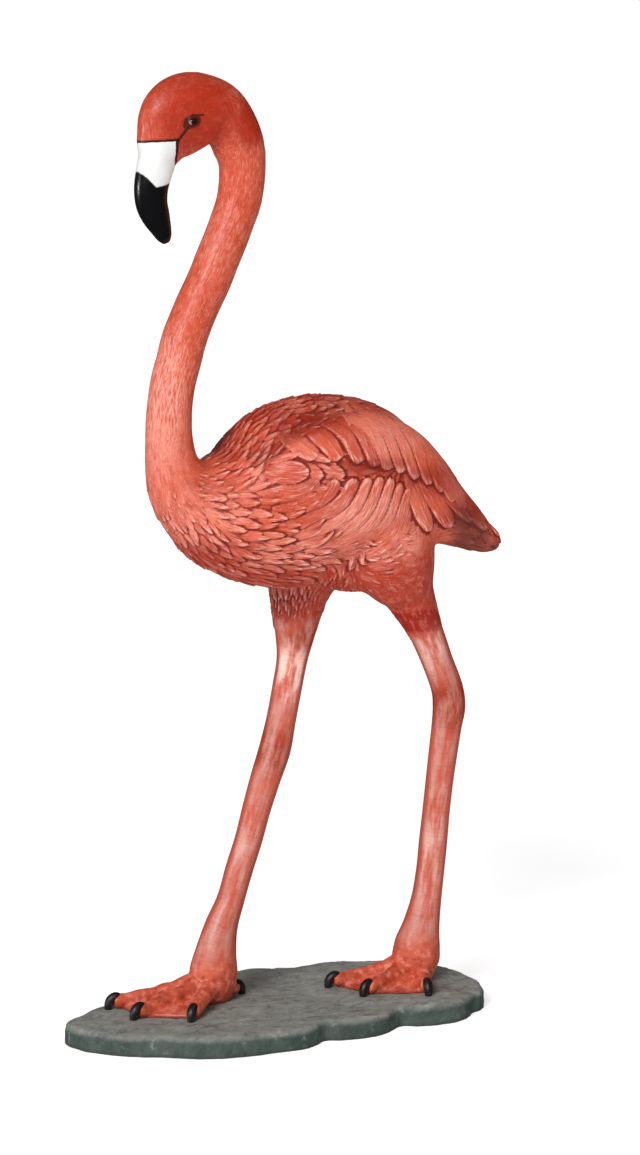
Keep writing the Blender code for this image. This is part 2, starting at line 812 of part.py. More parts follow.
def paint(thing, name, colour, roughness):
    material = bpy.data.materials.new(name)
    material.use_nodes = True
    surface = material.node_tree.nodes["Principled BSDF"]
    surface.inputs["Base Color"].default_value = (*colour, 1)
    surface.inputs["Roughness"].default_value = roughness
    material.diffuse_color = (*colour, 1)
    thing.data.materials.clear()
    thing.data.materials.append(material)


def main():
    clear_scene()
    figure = make_figure()
    slab = make_slab()
    paint(figure, "painted_coral_resin", (0.72, 0.16, 0.11), 0.5)
    paint(slab, "painted_grey_resin", (0.15, 0.17, 0.16), 0.8)
    group = bpy.data.collections.new("flamingo_sculpture")
    bpy.context.scene.collection.children.link(group)
    for thing in (figure, slab):
        bpy.context.scene.collection.objects.unlink(thing)
        group.objects.link(thing)
        print(thing.name, len(thing.data.vertices), len(thing.data.polygons))


main()
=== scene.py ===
import math
import time

import bmesh
import bpy
import numpy as np
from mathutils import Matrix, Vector, noise
from mathutils.bvhtree import BVHTree
from mathutils.kdtree import KDTree


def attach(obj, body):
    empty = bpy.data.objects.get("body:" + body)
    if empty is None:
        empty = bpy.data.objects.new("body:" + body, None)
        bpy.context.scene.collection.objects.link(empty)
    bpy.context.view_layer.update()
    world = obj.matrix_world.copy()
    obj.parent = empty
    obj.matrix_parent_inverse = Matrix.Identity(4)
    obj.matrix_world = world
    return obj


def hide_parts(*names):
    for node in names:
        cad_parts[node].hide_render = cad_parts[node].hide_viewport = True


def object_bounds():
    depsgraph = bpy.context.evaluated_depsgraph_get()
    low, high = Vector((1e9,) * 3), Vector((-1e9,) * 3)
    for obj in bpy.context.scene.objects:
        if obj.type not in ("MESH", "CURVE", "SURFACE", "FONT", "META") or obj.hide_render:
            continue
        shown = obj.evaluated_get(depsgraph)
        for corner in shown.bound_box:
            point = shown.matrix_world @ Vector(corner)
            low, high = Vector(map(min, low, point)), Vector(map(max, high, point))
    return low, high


started = time.time()


def report(words, *values):
    print("stage %5.1f s:" % (time.time() - started), words, *values)


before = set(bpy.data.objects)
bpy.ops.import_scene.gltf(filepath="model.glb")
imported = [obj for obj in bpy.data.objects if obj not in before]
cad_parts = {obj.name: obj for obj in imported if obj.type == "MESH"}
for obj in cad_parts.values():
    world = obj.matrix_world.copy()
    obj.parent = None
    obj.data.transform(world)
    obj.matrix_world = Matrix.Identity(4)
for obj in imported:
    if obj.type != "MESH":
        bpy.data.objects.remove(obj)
cadBox = [list(corner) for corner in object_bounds()]
report("the frame is loaded", sorted(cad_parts))

# The figure's stations are in millimetres, with heights measured from its soles.
figure = {
    "unit": 0.001,
    "soleHeight": 26.3,
    "voxel": 1.45,
    "ringPoints": 48,
    "toeRingPoints": 28,
    "clawRingPoints": 20,
    "rowGap": 2.5,
    "limbGap": 4,
    "batch": 20000,  # points placed along a limb at a time
    "bodyReach": 19,  # how far the body's limbs flow into each other
    "skinReach": 6,
    "crispFeet": (75, 45),  # heights between which the softening fades
    "crispShare": 0.88,
    "thighTop": 440,  # the softening of the body starts above this and ends before the tail
    "neckFoot": (650, -150),
    "tailEnd": 190,
    "areaFade": 30,
    "billDrop": 0.3,  # how far the bill is set in from the skin
    "fineReach": 3.6,  # reaches of the two blurs that the relief is measured from
    "broadReach": 12,
    "tailFade": (200, 226),
    "tailCalm": 0.8,
    "tipStart": 212,  # past this x the tail's tip is pressed back by this share
    "tipPress": 0.35,
    "legLean": 0.2,  # the plane between the legs
    "legSplit": 20,
    "trim": -1,  # a rough cut below the soles before the triangles are thinned
    "triangles": 195000,
    "seed": 5,
}

# Stations of each limb: x, y, z of its centre, half height across its path, half width sideways.
neckRows = [
    (-118, 0, 566, 62, 50),
    (-150, 0, 574, 52, 46),
    (-172, 0, 590, 41, 38),
    (-184, 0, 612, 31, 31),
    (-188, 0, 643, 26, 26),
    (-188, 0, 665, 25, 25),
    (-186, 0, 686, 24.5, 24.5),
    (-182, 0, 707, 24.5, 24.5),
    (-175.5, 0, 728, 24.5, 24.5),
    (-169, 0, 750, 24.5, 24.5),
    (-160, 0, 771, 24, 24),
    (-149.5, 0, 792, 24, 24),
    (-138, 0, 813, 24, 24),
    (-128.5, 0, 834, 24, 24),
    (-118, 0, 856, 24, 24),
    (-109, 0, 877, 24, 24),
    (-101, 0, 898, 24.5, 24.5),
    (-97, 0, 925, 25, 25),
    (-97.5, 0, 951, 26, 26),
]
headRows = [
    (-98, 0, 935, 24, 23),
    (-100, 0, 951, 28, 26),
    (-109, 0, 973, 29.5, 28),
    (-127, 0, 992, 33, 29.5),
    (-149, 0, 994, 40, 30),
    (-171.5, 0, 990, 40.5, 28.5),
    (-186, 0, 975, 37.5, 25),
    (-196, 0, 957, 27, 21),
    (-199, 0, 946, 22, 18.5),
]
chinRows = [
    (-150, 0, 980, 26, 22),
    (-166, 0, 966, 21, 19),
    (-180, 0, 953, 15, 15),
    (-186, 0, 942, 10, 11),
]
billRows = [
    (-193, 0, 964, 17, 14),
    (-197.5, 0, 950, 21.5, 17.5),
    (-200.5, 0, 938, 21, 17.5),
    (-204, 0, 926, 20, 17),
    (-207, 0, 911, 19, 16),
    (-206.5, 0, 896, 18, 15),
    (-201.5, 0, 882, 16, 13.5),
    (-195.5, 0, 869, 12, 11),
    (-191, 0, 858.5, 8, 7.5),
    (-189, 0, 853.5, 4, 3.5),
]
bodyRows = [
    (-186, 0, 590, 12, 12),
    (-174, 0, 584, 34, 32),
    (-156, 0, 575, 52, 48),
    (-130, 0, 566, 68, 63),
    (-98, 0, 564, 85, 75),
    (-62, 0, 569, 99, 83),
    (-20, 0, 576.5, 106, 86),
    (30, 0, 573, 106, 84),
    (75, 0, 562.5, 93, 76),
    (108, 0, 555, 69, 60),
    (128, 0, 552, 42, 38),
    (139, 0, 551, 18, 22),
]
tailRows = [
    (95, 0, 582, 40, 48),
    (130, 0, 567, 33, 50),
    (164, 0, 543, 23, 48),
    (194, 0, 523, 15, 45),
    (218, 0, 511, 8, 38),
    (228, 0, 505, 4, 31),
]
wingRows = [
    (-98, 50, 592, 16, 12),
    (-82, 58, 600, 36, 22),
    (-50, 64, 603, 58, 28),
    (0, 68, 601, 72, 30),
    (50, 66, 589, 67, 28),
    (95, 59, 569, 53, 25),
    (132, 51, 548, 38, 20),
    (164, 45, 529, 27, 14),
    (190, 41, 514, 17, 8),
    (211, 39, 508, 8, 5),
]
bellyRows = [
    (0, -14, 512, 40, 52),
    (30, -16, 496, 34, 48),
    (58, -20, 497, 28, 42),
    (80, -26, 506, 20, 32),
]
rightThigh = [
    (20, 34, 545, 40, 34),
    (8, 40, 505, 52, 42),
    (0, 40, 474, 44, 38),
    (-3.5, 40, 458, 36, 33),
    (-5.5, 40, 446, 32, 29),
    (-8, 40, 431, 28.5, 27),
    (-10, 40, 414, 25, 24),
]
rightShank = [
    (-8, 40, 431, 24, 23),
    (-9, 40, 416, 24, 23),
    (-14, 39, 382, 18, 17.5),
    (-21.5, 38, 348, 17, 17),
    (-29.5, 37, 314, 17, 17),
    (-38.5, 36, 280, 18.5, 17.5),
    (-51.5, 35, 247, 17.5, 17),
    (-63.5, 34, 214, 16.5, 16),
    (-74.5, 33, 180, 16, 15.5),
    (-87, 32.5, 147, 16, 15.5),
    (-98.5, 31.5, 114, 16, 15.5),
    (-111.5, 30.5, 84, 19.5, 17.5),
    (-118.5, 29.5, 58, 24, 20),
    (-122, 29.5, 34, 28.5, 22.5),
    (-122, 29.5, 14, 26, 21),
    (-121, 29.5, -8, 14, 12),
]
leftThigh = [
    (50, -40, 545, 50, 42),
    (64, -44, 510, 53, 46),
    (78, -44, 480, 43, 40),
    (90, -42, 460, 30, 31),
    (98, -42, 445, 26, 26),
    (106, -42, 429, 22.5, 23),
    (114, -41.5, 413, 20, 20),
]
leftShank = [
    (105, -42, 429, 19.5, 20),
    (114, -41.5, 413, 19.5, 19.5),
    (131, -39.5, 377, 18, 17.5),
    (146, -37, 343, 18.5, 18),
    (149, -36, 323, 19, 18.5),
    (146.5, -35, 300, 17.5, 17),
    (143.5, -33, 271, 17, 16),
    (140, -31, 237, 16, 16),
    (137, -29, 202, 16, 15.5),
    (134.5, -27, 167, 16.5, 16),
    (132, -25, 132, 16.5, 16),
    (128, -23, 97, 18, 16.5),
    (122.5, -21, 66, 22.5, 19),
    (118, -19.5, 42, 28.5, 22),
    (116.5, -19, 20, 29, 21),
    (118, -19, 4, 20, 17),
    (118, -19, -8, 12, 10),
]

# A foot: its root, each toe's heading from straight ahead and length, and its spur.
rightFoot = {"root": (-121, 29.5), "toes": [(-14, 116), (10, 107), (44, 77)], "spur": (-170, 33)}
leftFoot = {"root": (119, -19), "toes": [(-14.6, 101), (14.5, 83), (70, 55)], "spur": (-140, 31)}
feet = {
    "rootRise": 24,
    "tipRise": 8.5,
    "toeRoot": 14,
    "toeRadius": 7.6,
    "spurRoot": 9,
    "spurRadius": 7,
    "toeHeight": 1.1,
    "webRoot": 25,
    "webEdge": 4,
    "webReach": 0.93,
    # A toe's stations: share of its length, height and radius. The first two follow its root's
    # height and radius, and the others its tip's.
    "root": [(0, 1, 1), (0.25, 0.82, 0.86)],
    "tip": [
        (0.42, 1.85, 1.16),
        (0.5, 1.78, 1.16),
        (0.58, 1.5, 1.02),
        (0.75, 1.3, 1.04),
        (0.86, 1.06, 0.96),
        (0.95, 1, 1),
        (1, 0.94, 0.8),
    ],
    # A claw's stations: distance past the toe's tip, height and radius.
    "claw": [(-9, 12, 3), (-3, 14, 4.8), (2.5, 11.5, 5.4), (5.5, 6.5, 5.2), (6.5, 0, 4), (6.5, -5, 3)],
}

eyes = {
    "centre": (-171, 26, 981.5),
    "socket": 6,
    "bareRim": 3,
    "ball": (5.4, 5, 4.3),
    "segments": (40, 24),
    "proud": 1.6,
    "front": (0.3294, 0.3284),  # where the eye's pale front starts, in metres as x and half of z
}

# How the feathers lie, as seen from the side: x, z, heading (0 to the tail, 90 up), then
# each feather's length, width and lift.
bodyGuides = [
    (-195, 600, -75, 20, 8, 1.2),
    (-195, 565, -60, 24, 10, 1.8),
    (-180, 540, -40, 26, 11, 2.2),
    (-165, 585, -20, 26, 11, 2.2),
    (-150, 510, -25, 30, 12, 2.2),
    (-135, 600, 5, 28, 11, 2.2),
    (-125, 570, -10, 32, 12, 2.6),
    (-110, 620, 35, 26, 10, 2.2),
    (-110, 545, 0, 38, 12, 2.6),
    (-100, 500, -5, 34, 12, 2.4),
    (-85, 600, 10, 36, 14, 2.6),
    (-75, 645, 25, 26, 11, 2.4),
    (-75, 535, 10, 44, 13, 2.8),
    (-50, 495, 0, 36, 12, 2.4),
    (-45, 645, -35, 40, 15, 1.2),
    (-40, 670, 15, 26, 12, 2.4),
    (-45, 565, 45, 60, 13, 1.2),
    (-20, 545, 45, 60, 13, 1.2),
    (-35, 610, -10, 36, 16, 1.0),
    (-20, 465, -90, 20, 7, 2.2),
    (0, 565, 65, 60, 13, 1.2),
    (0, 520, 25, 34, 10, 2.8),
    (20, 500, 15, 30, 9, 1.8),
    (20, 640, -45, 52, 17, 1.0),
    (20, 680, -5, 30, 14, 1.6),
    (40, 525, 40, 30, 9, 1.8),
    (45, 580, 75, 50, 13, 1.4),
    (45, 490, 20, 26, 8, 1.2),
    (45, 474, -20, 18, 6, 0.8),
    (60, 510, 48, 28, 8, 1.3),
    (60, 660, -20, 40, 17, 1.2),
    (65, 550, 65, 30, 9, 1.6),
    (70, 575, -60, 50, 15, 1.0),
    (75, 484, 60, 18, 5, 0.5),
    (75, 460, -70, 20, 6, 1.3),
    (88, 440, -75, 18, 5, 1.2),
    (98, 465, -80, 20, 6, 1.2),
    (80, 635, -40, 54, 17, 1.1),
    (85, 525, 85, 26, 8, 1.2),
    (97, 500, 92, 22, 7, 1.0),
    (105, 600, -40, 60, 17, 1.0),
    (140, 590, -35, 54, 18, 1.3),
    (150, 550, -35, 60, 17, 1.4),
    (150, 515, -5, 36, 14, 2.0),
    (190, 490, -30, 34, 15, 1.4),
    (200, 525, -35, 44, 17, 1.6),
]
headGuides = [
    (-205, 975, 85, 9, 3.2, 0.4),
    (-197, 1005, 62, 9, 3.2, 0.4),
    (-170, 1026, 20, 9, 3.2, 0.4),
    (-140, 1022, -20, 9, 3.2, 0.4),
    (-115, 1000, -55, 9, 3.2, 0.4),
    (-100, 960, -82, 10, 3.4, 0.45),
    (-178, 985, 55, 9, 3.2, 0.4),
    (-150, 995, 0, 9, 3.2, 0.4),
    (-150, 965, -10, 9, 3.2, 0.4),
    (-125, 960, -50, 9, 3.2, 0.45),
    (-182, 958, 60, 7, 3, 0.35),
]
# Guides that run along a limb: its stations, each feather's length, width and lift, and whether
# the feathers point down the stations.
limbGuides = [
    (neckRows[4:17], 10, 3.4, 0.6, False),
    (rightThigh, 18, 6, 1.6, True),
    (leftThigh, 13, 4.4, 1.0, True),
]
plumage = {
    "fieldSoftness": 60,
    "rowSpacing": 0.36,
    "sideSpacing": 0.66,
    "rimFall": 2.2,
    "rootLift": 0.15,
    "tipStart": 0.45,
    "crown": 0.3,
    "quill": 0.12,
    "tilt": 0.35,
    "sink": 1.2,
    "traceSteps": 8,
    "shortSteps": 3,
    "shortLength": 14,
    "drift": 0.22,
    "smallLift": 1.35,
    "sizeVaries": 0.16,
    "liftVaries": 0.25,
    "longVaries": 0.1,
    "pointed": (0.9, 1.7),
    "quillWidth": 0.9,
    "quillFrom": 9,  # narrower feathers have no quill
    "leastFacing": 0.25,  # a feather doesn't reach skin that is turned further away
    "rootWidth": 0.5,
    "widens": 1.4,
    "tonePlace": 40,  # how far apart the tones put the paint's streaks
    "tries": 90000,
}
# The wing's long feathers, in rows as seen from the side: guide lines of x and z that the
# feathers run from, through and to, how many there are, and their widths and lifts.
wingFeathers = [
    {  # the flank's long arcs
        "lines": [
            [(-110, 585), (-90, 545), (-65, 520), (-25, 510)],
            [(-80, 585), (-50, 550), (-10, 530), (25, 520)],
            [(-65, 590), (-20, 570), (15, 555), (50, 540)],
            [(-55, 600), (-5, 600), (30, 600), (60, 585)],
        ],
        "count": 8,
        "width": (26, 27),
        "lift": (3.8, 3.0),
        "pointed": 0.5,
        "tilt": -0.3,
        "root": 0.5,
    },
    {  # the primaries over the tail
        "lines": [
            [(105, 605), (85, 605), (55, 605)],
            [(155, 570), (125, 570), (70, 575)],
            [(215, 515), (160, 540), (95, 535)],
        ],
        "count": 5,
        "width": (24, 28),
        "lift": (3.4, 4.8),
        "pointed": 0.5,
        "tilt": 0.3,
        "root": 0.3,
    },
    {  # the upper band
        "lines": [
            [(80, 655), (45, 672), (10, 675), (-30, 666), (-75, 650)],
            [(105, 622), (75, 648), (33, 655), (-6, 655), (-70, 640)],
            [(150, 556), (100, 584), (50, 604), (8, 616), (-55, 627)],
        ],
        "count": 11,
        "width": (34, 30),
        "lift": (3.2, 4.0),
        "pointed": 0.4,
        "tilt": 0.45,
        "root": 0.45,
    },
    {  # the shoulder's round feathers
        "lines": [
            [(-70, 615), (-90, 630), (-90, 615), (-105, 620), (-105, 610)],
            [(-45, 610), (-70, 630), (-70, 610), (-90, 625), (-90, 610)],
            [(-25, 605), (-40, 620), (-50, 605), (-70, 630), (-65, 610)],
        ],
        "count": 5,
        "width": (24, 15, 26, 14, 28),
        "lift": (4, 4.3, 4.6, 4.9, 5.4),
        "pointed": 0.9,
        "tilt": 0,
        "root": 0.3,
    },
]

# Grooves that are carved and darkened with painted shade and wash, as lines of x and z seen from the side.
grooves = [
    {  # over the shoulder
        "line": [(-107, 619), (-80, 643), (-65, 652), (-32, 666), (8, 675)],
        "reach": 9,
        "depth": 2.6,
        "dark": 0.55,
    },
    {  # under the upper band
        "line": [(-45, 618), (-30, 613), (0, 609), (32, 602), (67, 586)],
        "reach": 9,
        "depth": 1.0,
        "dark": 0.3,
    },
    {  # before the round feathers
        "line": [(-70, 598), (-50, 594), (-38, 604)],
        "reach": 5,
        "depth": 0.8,
        "dark": 0.5,
    },
    {  # at the neck's foot
        "line": [(-184, 600), (-160, 592), (-132, 598)],
        "reach": 7,
        "depth": 0.8,
        "dark": 0.3,
    },
]

# Paint that is seen from the side: centre x, z, half sizes along x and z, and strength.
paintSpots = {
    "redsAndBandShade": [
        (-165, 990, 62, 52, 1.0),
        (-100, 980, 26, 32, 1.0),
        (-165, 515, 60, 28, 0.8),
        (-90, 490, 70, 18, 0.75),
        (-20, 482, 60, 16, 0.7),
        (45, 490, 50, 12, 0.6),
        (-115, 640, 34, 28, 0.7),
        (-60, 660, 60, 22, 0.8),
        (-5, 684, 60, 12, 0.8),
        (60, 672, 60, 12, 0.5),
        # painted shade under the upper band's tips, in deep red
        (14, 613, 54, 12, 1.0),
        (68, 597, 34, 14, 0.8),
        (105, 590, 50, 24, 0.7),
        (150, 548, 50, 24, 0.8),
        (84, 462, 40, 22, 0.7),
        (94, 430, 40, 18, 2.0),
        (-9, 440, 32, 30, 0.6),
        (-4, 406, 28, 17, 1.6),
        (146, 328, 32, 36, 1.4),
        (-50, 283, 30, 34, 1.0),
    ],
    "palesAndHighlights": [
        # pale paint and painted highlight down the neck's front
        (-205, 690, 34, 110, 1.0),
        (-141, 867, 20, 60, 0.4),
        (-218, 606, 24, 30, 0.4),
        (20, 515, 50, 18, 0.7),
        (60, 530, 30, 30, 0.8),
        (5, 560, 70, 36, 1.0),
        (-60, 520, 90, 24, 0.6),
        (-172, 560, 60, 40, 0.6),
        (-80, 605, 50, 26, 0.5),
        (40, 640, 80, 26, 0.6),
        # painted highlight at the top of each shank, which feeds the highlight down the legs
        (-22, 366, 26, 36, 1.8),
        (112, 392, 26, 34, 0.6),
        (-88, 180, 30, 60, 0.25),
        (125, 160, 30, 90, 0.45),
    ],
    "paintedShade": [
        # painted shade on the right shoulder behind the neck
        (-105, 624, 34, 34, 0.9),
    ],
}
spotFade = (0.35, 1.15)  # shares of its size between which a spot fades
farSide = (2, 16)  # y between which the painted shade spots start, so that they lie on the right shoulder alone
# The painted shade under the tail: x between which it starts, how far the skin faces down, and its strength.
underTail = {"from": (120, 150), "facing": (0.25, -0.15), "above": 470, "strength": 0.8}

# Where the bare legs begin, in front and behind, and where the bill begins: under a line and
# ahead of one, each by a point and a slope.
bareLegs = {"between": 45, "front": (447, 441), "rear": (424, 416), "rearSlope": 0.25, "rearFrom": 100}
billPlace = {
    "under": (-225.5, 959.9, 0.05),
    "ahead": (-183.8, 938.4, -0.16),
    "soft": 0.8,
    "rearTop": 936,
    "rearX": -170,
    "lowest": 824,
}


def smoothRows(rows, gap):  # rows of numbers on a smooth curve through them, evenly spaced
    rows = np.array(rows, float)
    steps = np.sqrt(np.linalg.norm(np.diff(rows[:, :3], axis=0), axis=1))
    knots = np.concatenate([[0], np.cumsum(steps)])
    slopes = np.gradient(rows, knots, axis=0)
    dense = np.linspace(0, knots[-1], 14 * len(rows))
    spans = np.clip(np.searchsorted(knots, dense, side="right") - 1, 0, len(rows) - 2)
    width = (knots[spans + 1] - knots[spans])[:, None]
    t = (dense - knots[spans])[:, None] / width
    fine = (
        (2 * t**3 - 3 * t**2 + 1) * rows[spans]
        + (t**3 - 2 * t**2 + t) * width * slopes[spans]
        + (3 * t**2 - 2 * t**3) * rows[spans + 1]
        + (t**3 - t**2) * width * slopes[spans + 1]
    )
    travelled = np.concatenate([[0], np.cumsum(np.linalg.norm(np.diff(fine[:, :3], axis=0), axis=1))])
    count = max(3, int(round(travelled[-1] / gap)) + 1)
    even = np.linspace(0, travelled[-1], count)
    return np.stack([np.interp(even, travelled, column) for column in fine.T], axis=1)


def unitRows(rows):
    return rows / np.maximum(np.linalg.norm(rows, axis=-1, keepdims=True), 1e-9)


def smoothShare(value, low, high):  # 0 at low and 1 at high, eased at both ends
    share = np.clip((value - low) / (high - low), 0, 1)
    return share * share * (3 - 2 * share)


def loft(body, stations, side=1, gap=None, ringPoints=None):
    rows = smoothRows(stations, gap or figure["rowGap"])
    rows[:, 1] *= side
    paths = unitRows(np.gradient(rows[:, :3], axis=0))
    around = np.linspace(0, math.tau, ringPoints or figure["ringPoints"], endpoint=False)
    rings = []
    for (x, y, z, tall, wide), path in zip(rows, paths):
        across = unitRows(np.array((0, 1, 0)) - path * path[1])
        rise = np.cross(across, path)
        ring = []
        for turn in around:
            point = np.array((x, y, z)) + rise * tall * math.cos(turn) + across * wide * math.sin(turn)
            ring.append(body.verts.new(point))
        rings.append(ring)
    for low, high in zip(rings, rings[1:]):
        for k in range(len(around)):
            n = (k + 1) % len(around)
            body.faces.new((low[k], low[n], high[n], high[k]))
    body.faces.new(rings[0][::-1])
    body.faces.new(rings[-1])


def ball(body, centre, radius):
    made = bmesh.ops.create_icosphere(body, subdivisions=3, radius=radius)
    bmesh.ops.translate(body, verts=made["verts"], vec=centre)


def wayOf(heading):
    turn = math.radians(heading)
    return Vector((-math.cos(turn), -math.sin(turn), 0))


def footSkin(body, plan):  # three webbed toes and a spur behind
    root = Vector((*plan["root"], 0))
    edges = []
    for number, (heading, length) in enumerate(plan["toes"] + [plan["spur"]]):
        spur = number == len(plan["toes"])
        way = wayOf(heading)
        wide = feet["spurRadius"] if spur else feet["toeRadius"]
        thick = feet["spurRoot"] if spur else feet["toeRoot"]
        toe = [(share, feet["rootRise"] * high, thick * size) for share, high, size in feet["root"]]
        toe += [(share, feet["tipRise"] * high, wide * size) for share, high, size in feet["tip"]]
        rows = []
        for share, height, size in toe:
            spot = root + way * length * share
            rows.append((spot.x, spot.y, height, size * feet["toeHeight"], size))
        loft(body, rows, ringPoints=figure["toeRingPoints"])
        if not spur:
            edges.append(root + way * length * feet["webReach"])
    for first, second in zip(edges, edges[1:]):
        points = []
        for spot, height in ((root, feet["webRoot"]), (first, feet["webEdge"]), (second, feet["webEdge"])):
            points += [(spot.x, spot.y, -feet["webEdge"]), (spot.x, spot.y, height)]
        bmesh.ops.convex_hull(body, input=[body.verts.new(point) for point in points])


def newPiece(name, body):
    bmesh.ops.recalc_face_normals(body, faces=body.faces)
    mesh = bpy.data.meshes.new(name)
    body.to_mesh(mesh)
    body.free()
    piece = bpy.data.objects.new(name, mesh)
    bpy.context.scene.collection.objects.link(piece)
    return piece


def applyAll(piece):
    bpy.ops.object.select_all(action="DESELECT")
    bpy.context.view_layer.objects.active = piece
    piece.select_set(True)
    for modifier in list(piece.modifiers):
        bpy.ops.object.modifier_apply(modifier=modifier.name)


def voxelSkin(piece, step):
    skin = piece.modifiers.new("skin", "REMESH")
    skin.mode = "VOXEL"
    skin.voxel_size = step
    applyAll(piece)


def soften(piece, reach, step, group=""):
    ease = piece.modifiers.new("ease", "SMOOTH")
    ease.factor = 0.5
    ease.iterations = max(1, round((reach / step) ** 2))
    ease.vertex_group = group
    applyAll(piece)


def thinOut(piece, triangles):
    whole = piece.modifiers.new("triangles", "TRIANGULATE")
    whole.quad_method = "SHORTEST_DIAGONAL"
    applyAll(piece)
    thin = piece.modifiers.new("thin", "DECIMATE")
    thin.ratio = min(1, triangles / len(piece.data.polygons))
    applyAll(piece)


def meshPoints(piece):
    points = np.empty(3 * len(piece.data.vertices))
    piece.data.vertices.foreach_get("co", points)
    return points.reshape(-1, 3)


def movePoints(piece, points):
    piece.data.vertices.foreach_set("co", points.ravel())
    piece.data.update()


def cutFlat(piece, height):  # cuts off what is below a height and closes the cut
    body = bmesh.new()
    body.from_mesh(piece.data)
    everything = list(body.verts) + list(body.edges) + list(body.faces)
    bmesh.ops.bisect_plane(
        body, geom=everything, plane_co=(0, 0, height), plane_no=(0, 0, 1), clear_inner=True
    )
    rim = [edge for edge in body.edges if edge.is_boundary]
    made = bmesh.ops.holes_fill(body, edges=rim)
    bmesh.ops.triangulate(body, faces=made["faces"])
    body.to_mesh(piece.data)
    body.free()


def limbPlace(points, stations):  # each point's distance along a limb, and aside and up from its middle
    rows = smoothRows(stations, figure["limbGap"])
    paths = unitRows(np.gradient(rows[:, :3], axis=0))
    across = unitRows(np.array((0, 1, 0)) - paths * paths[:, 1:2])
    rise = np.cross(across, paths)
    travelled = np.concatenate([[0], np.cumsum(np.linalg.norm(np.diff(rows[:, :3], axis=0), axis=1))])
    places = np.empty((len(points), 3))
    for start in range(0, len(points), figure["batch"]):
        some = slice(start, start + figure["batch"])
        offsets = points[some, None, :] - rows[None, :, :3]
        nearest = np.argmin(np.sum(offsets**2, axis=2), axis=1)
        offset = offsets[np.arange(len(nearest)), nearest]
        places[some, 0] = travelled[nearest] + np.sum(offset * paths[nearest], axis=1)
        places[some, 1] = np.sum(offset * across[nearest], axis=1)
        places[some, 2] = np.sum(offset * rise[nearest], axis=1)
    return places


def flowRows(stations, length, width, lift, down):  # feather guides along a limb
    rows = np.array(stations, float)
    ways = np.gradient(rows[:, :3], axis=0) * (1 if down else -1)
    headings = np.degrees(np.arctan2(ways[:, 2], ways[:, 0]))
    return [(row[0], row[2], heading, length, width, lift) for row, heading in zip(rows, headings)]


